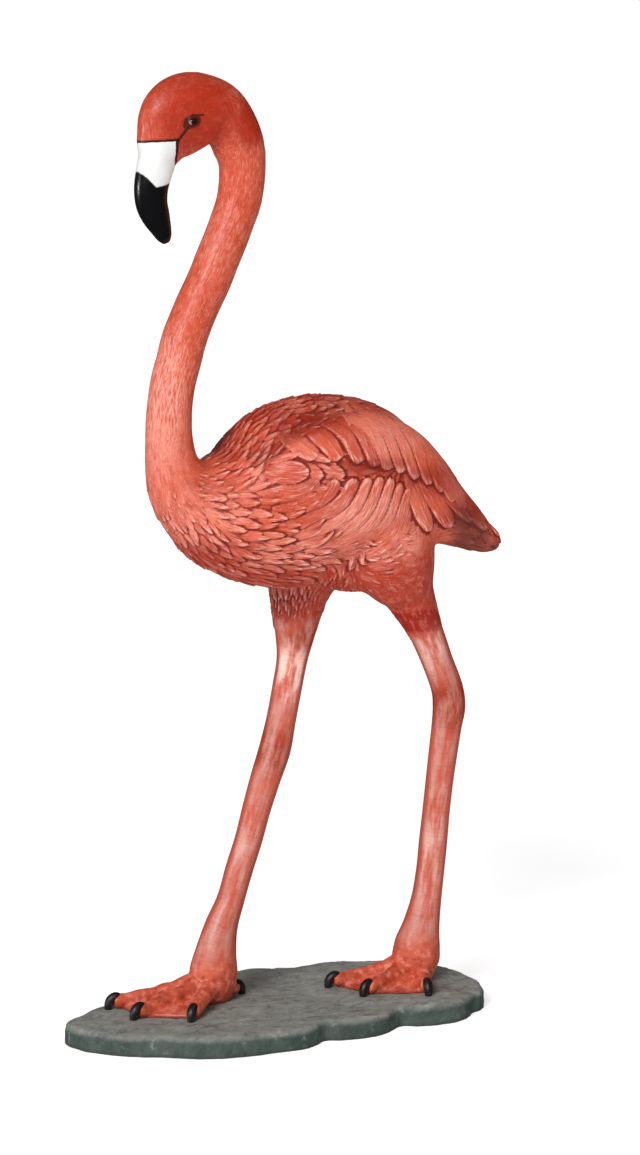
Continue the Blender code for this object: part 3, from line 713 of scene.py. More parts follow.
class Coat:  # the figure's skin with the feathers that are laid on it
    def __init__(self, piece, guides):
        mesh = piece.data
        self.points = meshPoints(piece)
        normals = np.empty(3 * len(mesh.vertices))
        mesh.vertex_normals.foreach_get("vector", normals)
        self.normals = normals.reshape(-1, 3)
        edges = np.empty(2 * len(mesh.edges), dtype=np.int64)
        mesh.edges.foreach_get("vertices", edges)
        self.edges = edges.reshape(-1, 2)
        self.degree = np.maximum(np.bincount(self.edges.ravel(), minlength=len(self.points)), 1)
        mesh.calc_loop_triangles()
        faces = np.empty(3 * len(mesh.loop_triangles), dtype=np.int32)
        mesh.loop_triangles.foreach_get("vertices", faces)
        self.tree = BVHTree.FromPolygons(self.points.tolist(), faces.reshape(-1, 3).tolist())
        self.index = KDTree(len(self.points))
        for number, point in enumerate(self.points):
            self.index.insert(point, number)
        self.index.balance()
        self.guides = np.array(guides, float)
        self.heights = np.zeros(len(self.points))
        self.strands = np.zeros((len(self.points), 3))
        self.tones = np.full(len(self.points), 0.5)
        self.chance = np.random.default_rng(figure["seed"])

    def settle(self, point):
        place, normal, _, _ = self.tree.find_nearest(Vector(point))
        return np.array(place), np.array(normal)

    def fromSide(self, x, z, side):
        place, normal, _, _ = self.tree.ray_cast(Vector((x, 1000 * side, z)), Vector((0, -side, 0)))
        if place is None:
            return self.settle((x, 30 * side, z))
        return np.array(place), np.array(normal)

    def flow(self, points):  # the feathers' way, length, width and lift at some points
        gaps = (points[:, None, 0] - self.guides[None, :, 0]) ** 2
        gaps = gaps + (points[:, None, 2] - self.guides[None, :, 1]) ** 2
        weights = 1 / (gaps + plumage["fieldSoftness"]) ** 2
        weights /= weights.sum(axis=1, keepdims=True)
        headings = np.radians(self.guides[:, 2])
        ways = np.zeros((len(points), 3))
        ways[:, 0] = weights @ np.cos(headings)
        ways[:, 2] = weights @ np.sin(headings)
        return ways, weights @ self.guides[:, 3:]

    def blurred(self, values, times):
        for _ in range(times):
            first, second = self.edges.T
            total = np.bincount(first, values[second], len(values))
            total += np.bincount(second, values[first], len(values))
            values = total / self.degree
        return values

    def lay(self, spots, normals, width, lift, pointed, tone, tilt, root):
        spots = np.array(spots)
        normals = np.array(normals)
        steps = np.linalg.norm(np.diff(spots, axis=0), axis=1)
        travelled = np.concatenate([[0], np.cumsum(steps)])
        ways = unitRows(np.gradient(spots, axis=0))
        sides = unitRows(np.cross(normals, ways))
        found = set()
        for spot in spots:
            found.update(hit[1] for hit in self.index.find_range(spot, max(width / 2, steps.max()) + 1))
        if not found:
            return
        found = np.array(sorted(found))
        offsets = self.points[found][:, None, :] - spots[None]
        nearest = np.argmin(np.sum(offsets**2, axis=2), axis=1)
        offset = offsets[np.arange(len(found)), nearest]
        distance = travelled[nearest] + np.sum(offset * ways[nearest], axis=1)
        along = distance / travelled[-1]
        across = np.sum(offset * sides[nearest], axis=1)
        facing = np.sum(self.normals[found] * normals[nearest], axis=1)
        tip = np.clip((along - plumage["tipStart"]) / (1 - plumage["tipStart"]), 0, 1)
        body = np.minimum(1, plumage["rootWidth"] + plumage["widens"] * along)
        half = width / 2 * body * np.sqrt(1 - tip**2) ** pointed
        rim = smoothShare(half - np.abs(across), 0, min(plumage["rimFall"], width / 3))
        share = np.clip(across / np.maximum(half, 1e-3), -1, 1)
        crown = 1 - plumage["crown"] * share**2 + tilt * share
        ridge = np.exp(-((across / plumage["quillWidth"]) ** 2))
        quill = 1 + plumage["quill"] * ridge * (width > plumage["quillFrom"])
        height = lift * (root + (1 - root) * np.clip(along, 0, 1)) * rim * crown * quill
        height[(along < 0) | (along > 1) | (facing < plumage["leastFacing"])] = 0
        higher = height > self.heights[found]
        raised = found[higher]
        self.heights[raised] = height[higher]
        self.tones[raised] = tone
        toned = np.full(len(found), plumage["tonePlace"] * tone)
        self.strands[raised] = np.stack([across, distance, toned], axis=1)[higher]

    def trace(self, start, length, drift):
        place, normal = self.settle(start)
        spots, normals = [place], [normal]
        steps = plumage["traceSteps" if length > plumage["shortLength"] else "shortSteps"]
        for number in range(steps):
            way = self.flow(place[None])[0][0]
            way = unitRows(way - normal * np.dot(way, normal))
            way = unitRows(way + np.cross(normal, way) * drift * (number + 1) / steps)
            place, normal = self.settle(place + way * length / steps)
            spots.append(place)
            normals.append(normal)
        return spots, normals

    def scatter(self, inside):  # roots of the small feathers, none too close to another
        order = self.chance.permutation(np.nonzero(inside)[0])
        order = order[: plumage["tries"]]
        ways, sizes = self.flow(self.points[order])
        roots = []
        crowd = {}
        cell = plumage["rowSpacing"] * sizes[:, 0].max() / 2
        for point, way, (length, width, lift) in zip(self.points[order], ways, sizes):
            reach = int(math.ceil(plumage["rowSpacing"] * length / cell))
            home = np.floor(point / cell).astype(int)
            others = []
            for i in range(-reach, reach + 1):
                for j in range(-reach, reach + 1):
                    for k in range(-reach, reach + 1):
                        others += crowd.get((home[0] + i, home[1] + j, home[2] + k), [])
            if others:
                gaps = np.array(others) - point
                ahead = gaps @ way
                aside = np.sqrt(np.maximum(np.sum(gaps**2, axis=1) - ahead**2, 0))
                crowding = (ahead / (plumage["rowSpacing"] * length)) ** 2
                crowding += (aside / (plumage["sideSpacing"] * width)) ** 2
                if np.any(crowding < 1):
                    continue
            crowd.setdefault(tuple(home), []).append(point)
            roots.append((point, length, width, lift))
        return roots

    def layRow(self, row, side):  # a row of long feathers between guide lines seen from the side
        for number in range(row["count"]):
            share = number / max(1, row["count"] - 1)
            corners = [pointOn(line, share) for line in row["lines"]]
            width, lift = (
                np.interp(share, np.linspace(0, 1, len(row[size])), row[size]) for size in ("width", "lift")
            )
            width *= 1 + plumage["longVaries"] * self.chance.uniform(-1, 1)
            rows = smoothRows([(x, 0, z) for x, z in corners], 5)
            landed = [self.fromSide(x, z, side) for x, _, z in rows]
            spots = [place for place, _ in landed]
            normals = [normal for _, normal in landed]
            tilt = row["tilt"] * side
            self.lay(spots, normals, width, lift, row["pointed"], self.chance.random(), tilt, row["root"])


def pointOn(line, share):
    line = np.array(line, float)
    place = share * (len(line) - 1)
    return [np.interp(place, np.arange(len(line)), column) for column in line.T]


def figureSkin():
    body = bmesh.new()
    for stations in (neckRows, headRows, chinRows, billRows, bodyRows, bellyRows, tailRows):
        loft(body, stations)
    for stations in (rightThigh, rightShank, leftThigh, leftShank):
        loft(body, stations)
    for side in (1, -1):
        loft(body, wingRows, side)
        x, y, z = eyes["centre"]
        ball(body, (x, y * side, z), eyes["socket"])
    footSkin(body, rightFoot)
    footSkin(body, leftFoot)
    piece = newPiece("flamingo_figure", body)
    voxelSkin(piece, figure["voxel"])
    return piece


def weigh(piece, name, share):
    group = piece.vertex_groups.new(name=name)
    for number in np.nonzero(share > 0)[0]:
        group.add([int(number)], float(share[number]), "REPLACE")


def softAreas(piece):  # the body flows together, and the feet and the bill keep their edges
    points = meshPoints(piece)
    x, z = points[:, 0], points[:, 2]
    fade = figure["areaFade"]
    neckTop, neckFront = figure["neckFoot"]
    neck = (neckTop - z) / fade + np.maximum(0, (x - neckFront) / fade)
    thighs = (z - figure["thighTop"]) / fade
    tail = (figure["tailEnd"] - x) / fade
    weigh(piece, "body", np.minimum.reduce([np.ones(len(x)), thighs, neck, tail]))
    crisp = np.maximum(smoothShare(z, *figure["crispFeet"]), billAmount(points))
    weigh(piece, "limbs", 1 - figure["crispShare"] * crisp)


def spots(points, places):  # soft round patches seen from the side, the strongest counts
    amount = np.zeros(len(points))
    for x, z, wide, tall, strength in places:
        reach = np.hypot((points[:, 0] - x) / wide, (points[:, 2] - z) / tall)
        amount = np.maximum(amount, strength * (1 - smoothShare(reach, *spotFade)))
    return amount


def lineShare(points, groove):  # 1 on a line seen from the side, down to 0 at its reach
    line = np.array(groove["line"], float)
    places = points[:, (0, 2)]
    least = np.full(len(points), 1e6)
    for start, end in zip(line, line[1:]):
        run = end - start
        along = np.clip((places - start) @ run / (run @ run), 0, 1)
        least = np.minimum(least, np.linalg.norm(places - start - along[:, None] * run, axis=1))
    return 1 - smoothShare(least, 0, groove["reach"])


def layPlumage(piece):
    guides = bodyGuides + headGuides
    for stations, *look in limbGuides:
        guides += flowRows(stations, *look)
    coat = Coat(piece, guides)
    x, z = coat.points[:, 0], coat.points[:, 2]
    legShare = legAmount(coat.points)
    bill = billAmount(coat.points)
    inside = (legShare < 0.5) & (bill < 0.5)
    eyeX, _, eyeZ = eyes["centre"]
    inside &= np.hypot(x - eyeX, z - eyeZ) > eyes["socket"] + eyes["bareRim"]
    roots = coat.scatter(inside)
    for point, length, width, lift in roots:
        lift *= plumage["smallLift"]
        length *= 1 + plumage["sizeVaries"] * coat.chance.uniform(-1, 1)
        width *= 1 + plumage["sizeVaries"] * coat.chance.uniform(-1, 1)
        lift *= 1 + plumage["liftVaries"] * coat.chance.uniform(-1, 1)
        trail, normals = coat.trace(point, length, plumage["drift"] * coat.chance.uniform(-1, 1))
        tilt = plumage["tilt"] * coat.chance.uniform(-1, 1)
        pointed = coat.chance.uniform(*plumage["pointed"])
        coat.lay(trail, normals, width, lift, pointed, coat.chance.random(), tilt, plumage["rootLift"])
    report("small feathers", len(roots))
    for side in (-1, 1):
        for row in wingFeathers:
            coat.layRow(row, side)
    report("long feathers", 2 * sum(row["count"] for row in wingFeathers))
    return coat, legShare, bill


def legAmount(points):  # 1 on the bare legs and feet
    x, z = points[:, 0], points[:, 2]
    front = smoothShare(z, *bareLegs["front"])
    rear = smoothShare(z - bareLegs["rearSlope"] * (x - bareLegs["rearFrom"]), *bareLegs["rear"])
    return np.where(x < bareLegs["between"], front, rear)


def billAmount(points):  # 1 on the bill
    x, z = points[:, 0], points[:, 2]
    soft = billPlace["soft"]
    lineX, lineZ, slope = billPlace["under"]
    under = smoothShare(z - (lineZ + (x - lineX) * slope), soft, -soft)
    lineX, lineZ, slope = billPlace["ahead"]
    ahead = smoothShare(x - (lineX + (z - lineZ) * slope), soft, -soft)
    rear = (z < billPlace["rearTop"]) * (x < billPlace["rearX"])
    return under * np.maximum(ahead, rear) * (z > billPlace["lowest"])


def addValues(mesh, name, values):
    kind = "FLOAT" if values.ndim == 1 else "FLOAT_VECTOR"
    layer = mesh.attributes.new(name, kind, "POINT")
    layer.data.foreach_set("value" if values.ndim == 1 else "vector", values.astype(np.float32).ravel())


def makeFigure():
    piece = figureSkin()
    report("skin", len(piece.data.vertices))
    softAreas(piece)
    soften(piece, figure["bodyReach"], figure["voxel"], "body")
    soften(piece, figure["skinReach"], figure["voxel"], "limbs")
    piece.vertex_groups.clear()
    coat, legShare, bill = layPlumage(piece)
    lifts = np.where(coat.heights > 0, coat.heights - plumage["sink"] * np.minimum(1, coat.heights), 0)
    lifts = lifts * (1 - figure["tailCalm"] * smoothShare(coat.points[:, 0], *figure["tailFade"]))
    lifts = np.where((coat.heights == 0) & (bill > 0.5), -figure["billDrop"], lifts)
    legShare = coat.blurred(legShare * (coat.heights == 0), 2)
    fine = coat.blurred(lifts, round((figure["fineReach"] / figure["voxel"]) ** 2))
    wide = coat.blurred(lifts, round((figure["broadReach"] / figure["voxel"]) ** 2))
    relief = lifts - fine
    broad = fine - wide
    grooveShade = np.zeros(len(lifts))
    for groove in grooves:
        share = lineShare(coat.points, groove)
        lifts = lifts - groove["depth"] * share
        # painted shade and wash along each groove
        grooveShade = np.maximum(grooveShade, groove["dark"] * share)
    moved = coat.points + coat.normals * lifts[:, None]
    moved[:, 0] -= figure["tipPress"] * np.maximum(0, moved[:, 0] - figure["tipStart"])
    movePoints(piece, moved)
    values = {
        "relief": relief,
        "broadRelief": broad,
        "tone": coat.tones,
        "grooves": grooveShade,
        "strand": coat.strands,
        "legs": legShare,
        "neckPlace": limbPlace(coat.points, neckRows),
    }
    for name, places in paintSpots.items():
        values[name] = spots(coat.points, places)
    # painted shade on the tail's underside, where the skin faces down
    under = underTail["strength"] * (coat.points[:, 2] > underTail["above"])
    under = under * smoothShare(coat.points[:, 0], *underTail["from"])
    under = under * smoothShare(coat.normals[:, 2], *underTail["facing"])
    values["paintedShade"] *= smoothShare(coat.points[:, 1], *farSide)
    values["paintedShade"] = np.maximum(values["paintedShade"], under)
    right = coat.points[:, 0] + coat.points[:, 1] * figure["legLean"] < figure["legSplit"]
    shanks = [limbPlace(coat.points, rows) for rows in (rightShank, leftShank)]
    values["legPlace"] = np.where(right[:, None], *shanks)
    dense = KDTree(len(moved))
    for number, point in enumerate(moved):
        dense.insert(point, number)
    dense.balance()
    report("feathers raised")
    cutFlat(piece, figure["trim"])
    thinOut(piece, figure["triangles"])
    cutFlat(piece, 0)
    nearest = np.array([dense.find(point)[1] for point in meshPoints(piece)])
    for name, numbers in values.items():
        addValues(piece.data, name, numbers[nearest])
    return piece


def claws():
    body = bmesh.new()
    for plan in (rightFoot, leftFoot):
        root = Vector((*plan["root"], 0))
        for heading, length in plan["toes"] + [plan["spur"]]:
            way = wayOf(heading)
            rows = []
            for along, height, size in feet["claw"]:
                spot = root + way * (length + along)
                rows.append((spot.x, spot.y, height, size, size))
            loft(body, rows, gap=1, ringPoints=figure["clawRingPoints"])
    piece = newPiece("claws", body)
    cutFlat(piece, 0)
    return piece


class Paint:  # a procedural paint built from shader nodes
    def __init__(self, name):
        self.material = bpy.data.materials.new(name)
        self.material.use_nodes = True
        self.nodes = self.material.node_tree.nodes
        self.links = self.material.node_tree.links
        self.surface = self.nodes["Principled BSDF"]
        self.place = self.nodes.new("ShaderNodeTexCoord").outputs["Object"]

    def feed(self, socket, value):
        if isinstance(value, bpy.types.NodeSocket):
            self.links.new(value, socket)
        elif isinstance(value, tuple) and len(value) == 3 and socket.type == "RGBA":
            socket.default_value = (*value, 1)
        else:
            socket.default_value = value

    def math(self, operation, first, second=0.5, third=0.5, clamp=False):
        node = self.nodes.new("ShaderNodeMath")
        node.operation = operation
        node.use_clamp = clamp
        for socket, value in zip(node.inputs, (first, second, third)):
            self.feed(socket, value)
        return node.outputs[0]

    def scaled(self, vector, scale):
        node = self.nodes.new("ShaderNodeMapping")
        self.feed(node.inputs["Vector"], vector)
        node.inputs["Scale"].default_value = scale
        return node.outputs[0]

    def parts(self, vector):
        node = self.nodes.new("ShaderNodeSeparateXYZ")
        self.feed(node.inputs[0], vector)
        return node.outputs

    def joined(self, *values):
        node = self.nodes.new("ShaderNodeCombineXYZ")
        for socket, value in zip(node.inputs, values):
            self.feed(socket, value)
        return node.outputs[0]

    def value(self, name, kind="Fac"):
        node = self.nodes.new("ShaderNodeAttribute")
        node.attribute_name = name
        return node.outputs[kind]

    def noise(self, vector, scale, detail=2.0, roughness=0.5, distortion=0.0):
        node = self.nodes.new("ShaderNodeTexNoise")
        self.feed(node.inputs["Vector"], vector)
        node.inputs["Scale"].default_value = scale
        node.inputs["Detail"].default_value = detail
        node.inputs["Roughness"].default_value = roughness
        node.inputs["Distortion"].default_value = distortion
        return node.outputs["Fac"]

    def eased(self, value, low, high, top=1.0):  # 0 at low and top at high
        node = self.nodes.new("ShaderNodeMapRange")
        node.interpolation_type = "SMOOTHSTEP"
        self.feed(node.inputs["Value"], value)
        node.inputs["From Min"].default_value = low
        node.inputs["From Max"].default_value = high
        node.inputs["To Max"].default_value = top
        return node.outputs["Result"]

    def mix(self, share, first, second):
        node = self.nodes.new("ShaderNodeMix")
        node.data_type = "RGBA"
        self.feed(node.inputs["Factor"], share)
        self.feed(node.inputs[6], first)
        self.feed(node.inputs[7], second)
        return node.outputs[2]

    def bump(self, height, distance, strength):
        node = self.nodes.new("ShaderNodeBump")
        node.inputs["Distance"].default_value = distance
        self.feed(node.inputs["Strength"], strength)
        self.feed(node.inputs["Height"], height)
        return node.outputs["Normal"]

    def finish(self, colour, roughness, normal=None):
        self.feed(self.surface.inputs["Base Color"], colour)
        self.feed(self.surface.inputs["Roughness"], roughness)
        if normal is not None:
            self.feed(self.surface.inputs["Normal"], normal)
        return self.material


def shade(*parts):  # red, green and blue as a screen shows them, 0 to 255
    return tuple(((part / 255 + 0.055) / 1.055) ** 2.4 if part > 10 else part / 3294 for part in parts)


colours = {
    "salmon": shade(208, 84, 54),
    "deep": shade(156, 32, 12),
    "vivid": shade(178, 42, 4),
    "pink": shade(232, 144, 126),
    "highlight": shade(244, 196, 182),
    # the dark wash colour, also used as painted shade in hollows, grooves and under the toes
    "washAndShade": shade(122, 28, 12),
    "shadow": shade(112, 50, 40),
    "legPink": shade(176, 82, 66),
    "legOrange": shade(158, 52, 24),
    "toes": shade(206, 92, 66),
    "billWhite": shade(228, 228, 226),
    "billShade": shade(204, 200, 196),
    "billBlack": shade(12, 12, 14),
    "line": shade(52, 18, 12),
    "clawBlack": shade(14, 12, 12),
    "clawWear": shade(70, 58, 52),
    "eyeBlack": shade(16, 10, 10),
    "eyeBrown": shade(44, 22, 18),
    "eyePale": shade(150, 118, 112),
    "stoneTop": shade(142, 144, 138),
    "stoneSide": shade(66, 80, 72),
    "stonePale": shade(182, 186, 176),
    "stoneDark": shade(52, 56, 52),
    "stoneBrown": shade(112, 104, 96),
    "stoneTeal": shade(50, 66, 60),
}


def lineSide(paint, x, z, start, end, soft):  # 0 to 1 across a line in the side view
    run, rise = end[0] - start[0], end[1] - start[1]
    length = math.hypot(run, rise)
    gap = paint.math("MULTIPLY", x, rise / length)
    gap = paint.math("ADD", gap, paint.math("MULTIPLY", z, -run / length))
    middle = (start[0] * rise - start[1] * run) / length
    return paint.eased(gap, middle - soft, middle + soft)


def nearLine(paint, x, z, start, end, reach):  # 1 on a short painted line in the side view
    run, rise = end[0] - start[0], end[1] - start[1]
    square = run * run + rise * rise
    fromX = paint.math("SUBTRACT", x, start[0])
    fromZ = paint.math("SUBTRACT", z, start[1])
    along = paint.math("MULTIPLY", fromX, run / square)
    along = paint.math("ADD", along, paint.math("MULTIPLY", fromZ, rise / square))
    along = paint.math("MINIMUM", paint.math("MAXIMUM", along, 0.0), 1.0)
    gapX = paint.math("SUBTRACT", fromX, paint.math("MULTIPLY", along, run))
    gapZ = paint.math("SUBTRACT", fromZ, paint.math("MULTIPLY", along, rise))
    square = paint.math("ADD", paint.math("MULTIPLY", gapX, gapX), paint.math("MULTIPLY", gapZ, gapZ))
    gap = paint.math("SQRT", square)
    return paint.eased(gap, reach * 1.3, reach * 0.7)


def billArea(paint, x, z, high, low, edges):  # 1 under and ahead of two lines in the side view
    under, ahead = (lineSide(paint, x, z, *line) for line in edges)
    return paint.math("MULTIPLY", under, paint.math("MULTIPLY", high, paint.math("MAXIMUM", ahead, low)))


# Painted lines on the head, in metres as seen from the side: two points and how soft or wide.
faceLines = {
    "wobble": 0.0016,  # how far the brush strays
    "bill": [
        ((-0.2255, 0.9862), (-0.1875, 0.9880), 0.0004),
        ((-0.1875, 0.9880), (-0.1838, 0.9647), 0.0004),
    ],
    "border": [
        ((-0.2255, 0.9886), (-0.1855, 0.9910), 0.0012),
        ((-0.1840, 0.9910), (-0.1798, 0.9640), 0.0013),
    ],
    "black": [
        ((-0.2266, 0.9605), (-0.2077, 0.9400), 0.0009),
        ((-0.2077, 0.9400), (-0.1963, 0.9425), 0.0009),
    ],
    "lowest": (0.850, 0.851),  # heights that the bill's paint starts between
    "rearTop": (0.9630, 0.9620),  # below this and ahead of the next, all is bill
    "rear": (-0.170, -0.171),
    # The line from the bill to the eye, the dark round the eye, and its upper lid.
    "eye": [
        ((-0.1745, 1.0030), (-0.1845, 0.9890), 0.0019),
        ((-0.1752, 1.0064), (-0.1668, 1.0094), 0.0060),
        ((-0.1790, 1.0098), (-0.1700, 1.0152), 0.0017),
        ((-0.1700, 1.0152), (-0.1585, 1.0156), 0.0011),
    ],
}


# Layers of the figure's paint: where each starts, where it is full, and its strength where that
# isn't 1. Heights are in metres.
featherLayers = {
    "neck": (0.64, 0.72),  # streaks along the feathers turn to fine hatching up the neck
    "belly": (0.575, 0.515, 0.7),
    "redPatches": (0.15, 0.5),
    "redStrokes": (0.52, 0.72, 0.35),
    "paleStrokes": (0.64, 0.42),
    "pinkFeathers": (0.5, 1, 0.25),
    "deepFeathers": (0.5, 0, 0.35),
    "lightStrokes": (0.46, 0.34, 0.3),
    "upperNeck": (0.74, 0.84, 0.1),
    "face": (0.972, 0.99, 0.75),
    "gaps": (-0.04, -0.42),
    # painted shade in the broad hollows between the feathers
    "hollowShade": (-0.1, -1.3, 0.35),
    "grooves": (0.2, 0.6),
    "tips": (0.08, 0.5, 0.6),
    "tipStrokes": (0.62, 0.4),
    "paintedShadePatches": (0.2, 0.5),
}
legLayers = {
    "salmon": (0.4, 0.65, 0.5),
    # painted shade on the side of a leg that faces away from the light
    "behind": (8, -4, 0.8),
    "joints": (0.15, 0.5, 0.9),
    "highlightStripe": (8, 14),
    "stripeGrain": (0.65, 0.35),
    "rings": (0.5, 0.66, 0.22),
    "toePatches": (0.35, 0.65, 0.6),
    "toePink": (0.5, 0.64, 0.5),
    "toeWash": (0.46, 0.34, 0.5),
    # painted shade low on the feet, next to the ground
    "soles": (0.036, 0.027, 0.5),
    "feet": (0.10, 0.06),
}
figureFinish = {
    "streaks": (0.8, 0.07, 1),  # how fine the strokes are across and along a feather
    "hatching": (0.11, 0.9, 0.9),  # and along and round the neck
    "patches": 24,
    "washAndShade": 0.95,
    "calm": -0.7,  # fewer light strokes where the paint is red
    "legGrain": (0.02, 0.1, 0.1),
    "legRings": (0.8, 0.05, 0.05),
    "legLightWay": (-0.86, 0.5),  # the way that the painted highlight down a leg faces, toward the light from the front left
    "highlightStripe": (0.6, 0.3),  # the painted highlight's strength in the pale areas, and everywhere
    "lines": 0.85,
    "stain": (0.4, 0.8, 0.35),
    "roughness": (0.2, 0.32),
    "billGloss": -0.14,
    "specular": 0.3,
    "coat": 0.14,
    "coatRoughness": 0.25,
    "barbs": (1.5, 0.25),  # how close a feather's barbs are, and how long
    "barbSlant": -1.2,
    "barbDepth": 0.0006,
}


def featherColour(paint, z, strand, tone, patches):
    streaks = paint.noise(paint.scaled(strand, figureFinish["streaks"]), 1, 4, 0.62)
    neckPlace = paint.value("neckPlace", "Vector")
    hatching = paint.noise(paint.scaled(neckPlace, figureFinish["hatching"]), 1, 4, 0.55)
    strokes = paint.math("SUBTRACT", hatching, streaks)
    strokes = paint.math("MULTIPLY_ADD", strokes, paint.eased(z, *featherLayers["neck"]), streaks)
    relief = paint.value("relief")
    redAndShadeSpots = paint.value("redsAndBandShade")

    # A base coat with redder and paler areas, which hold painted shade under the upper band and painted
    # highlight down the neck's front.
    red = paint.math("MAXIMUM", redAndShadeSpots, paint.eased(z, *featherLayers["belly"]))
    red = paint.math("MULTIPLY", red, paint.eased(patches, *featherLayers["redPatches"]))
    red = paint.math("ADD", paint.eased(strokes, *featherLayers["redStrokes"]), red, clamp=True)
    colour = paint.mix(red, colours["salmon"], colours["deep"])
    pale = paint.math("MULTIPLY", paint.value("palesAndHighlights"), paint.eased(strokes, *featherLayers["paleStrokes"]))
    colour = paint.mix(pale, colour, colours["pink"])
    colour = paint.mix(paint.eased(tone, *featherLayers["pinkFeathers"]), colour, colours["pink"])
    colour = paint.mix(paint.eased(tone, *featherLayers["deepFeathers"]), colour, colours["deep"])
    calm = paint.math("MULTIPLY_ADD", redAndShadeSpots, figureFinish["calm"], 1)
    light = paint.math("MULTIPLY", paint.eased(strokes, *featherLayers["lightStrokes"]), calm)
    colour = paint.mix(light, colour, colours["highlight"])
    colour = paint.mix(paint.eased(z, *featherLayers["upperNeck"]), colour, colours["deep"])
    vivid = paint.math("MULTIPLY", paint.eased(z, *featherLayers["face"]), redAndShadeSpots)
    colour = paint.mix(vivid, colour, colours["vivid"])

    # A dark wash in the gaps, painted shade in the broad hollows and the grooves, dry-brushed tips, and
    # painted shade on the right shoulder and under the tail.
    hollowShade = paint.eased(paint.value("broadRelief"), *featherLayers["hollowShade"])
    dark = paint.math("ADD", hollowShade, paint.eased(relief, *featherLayers["gaps"]), clamp=True)
    dark = paint.math("MULTIPLY", dark, figureFinish["washAndShade"])
    carved = paint.math("MULTIPLY", paint.value("grooves"), paint.eased(streaks, *featherLayers["grooves"]))
    colour = paint.mix(paint.math("MAXIMUM", dark, carved), colour, colours["washAndShade"])
    tips = paint.eased(relief, *featherLayers["tips"])
    tips = paint.math("MULTIPLY", tips, paint.eased(strokes, *featherLayers["tipStrokes"]))
    colour = paint.mix(paint.math("MULTIPLY", tips, calm), colour, colours["highlight"])
    paintedShade = paint.eased(patches, *featherLayers["paintedShadePatches"])
    paintedShade = paint.math("MULTIPLY", paint.value("paintedShade"), paintedShade)
    return paint.mix(paintedShade, colour, colours["shadow"])


def legsColour(paint, z, legPlace, rings, patches):  # pink with orange joints and fine rings across, a painted highlight down the lit front and painted shade down the back
    grain = paint.noise(paint.scaled(legPlace, figureFinish["legGrain"]), 1, 3, 0.6)
    _, side, up = paint.parts(legPlace)
    sideShare, upShare = figureFinish["legLightWay"]
    facing = paint.math("MULTIPLY_ADD", side, sideShare, paint.math("MULTIPLY", up, upShare))
    colour = paint.mix(paint.eased(grain, *legLayers["salmon"]), colours["legPink"], colours["salmon"])
    # painted shade in orange on the side that faces away from the light
    colour = paint.mix(paint.eased(facing, *legLayers["behind"]), colour, colours["legOrange"])
    joints = paint.eased(patches, *legLayers["joints"])
    joints = paint.math("MULTIPLY", paint.value("redsAndBandShade"), joints, clamp=True)
    colour = paint.mix(joints, colour, colours["legOrange"])
    # painted highlight down the side that faces the light
    highlightStripe = paint.math("MULTIPLY_ADD", paint.value("palesAndHighlights"), *figureFinish["highlightStripe"])
    highlightStripe = paint.math("MULTIPLY", highlightStripe, paint.eased(facing, *legLayers["highlightStripe"]))
    highlightStripe = paint.math("MULTIPLY", highlightStripe, paint.eased(grain, *legLayers["stripeGrain"]))
    colour = paint.mix(highlightStripe, colour, colours["highlight"])
    colour = paint.mix(paint.eased(rings, *legLayers["rings"]), colour, colours["washAndShade"])
    mottle = paint.noise(paint.place, 110, 4, 0.6)
    toes = paint.mix(paint.eased(patches, *legLayers["toePatches"]), colours["toes"], colours["legOrange"])
    toes = paint.mix(paint.eased(mottle, *legLayers["toePink"]), toes, colours["pink"])
    toes = paint.mix(paint.eased(mottle, *legLayers["toeWash"]), toes, colours["washAndShade"])
    # painted shade on the toes and webs next to the ground
    toes = paint.mix(paint.eased(z, *legLayers["soles"]), toes, colours["washAndShade"])
    return paint.mix(paint.eased(z, *legLayers["feet"]), colour, toes)


def faceColour(paint, x, z, colour):  # dark lines round the eye and bill, and a white bill with a black tip
    high = paint.eased(z, *faceLines["lowest"])
    low = paint.math("MULTIPLY", paint.eased(z, *faceLines["rearTop"]), paint.eased(x, *faceLines["rear"]))
    bill = billArea(paint, x, z, high, low, faceLines["bill"])
    border = billArea(paint, x, z, high, low, faceLines["border"])
    black = paint.math("MAXIMUM", *(lineSide(paint, x, z, *line) for line in faceLines["black"]))
    lore, socket, lid, lidEnd = (nearLine(paint, x, z, *line) for line in faceLines["eye"])
    lines = paint.math("MAXIMUM", paint.math("MAXIMUM", lore, socket), paint.math("MAXIMUM", lid, lidEnd))
    colour = paint.mix(paint.math("MULTIPLY", lines, figureFinish["lines"]), colour, colours["line"])
    colour = paint.mix(border, colour, colours["line"])
    stain = paint.eased(paint.noise(paint.place, 90, 3), *figureFinish["stain"])
    ivory = paint.mix(stain, colours["billWhite"], colours["billShade"])
    return paint.mix(bill, colour, paint.mix(black, ivory, colours["billBlack"])), bill


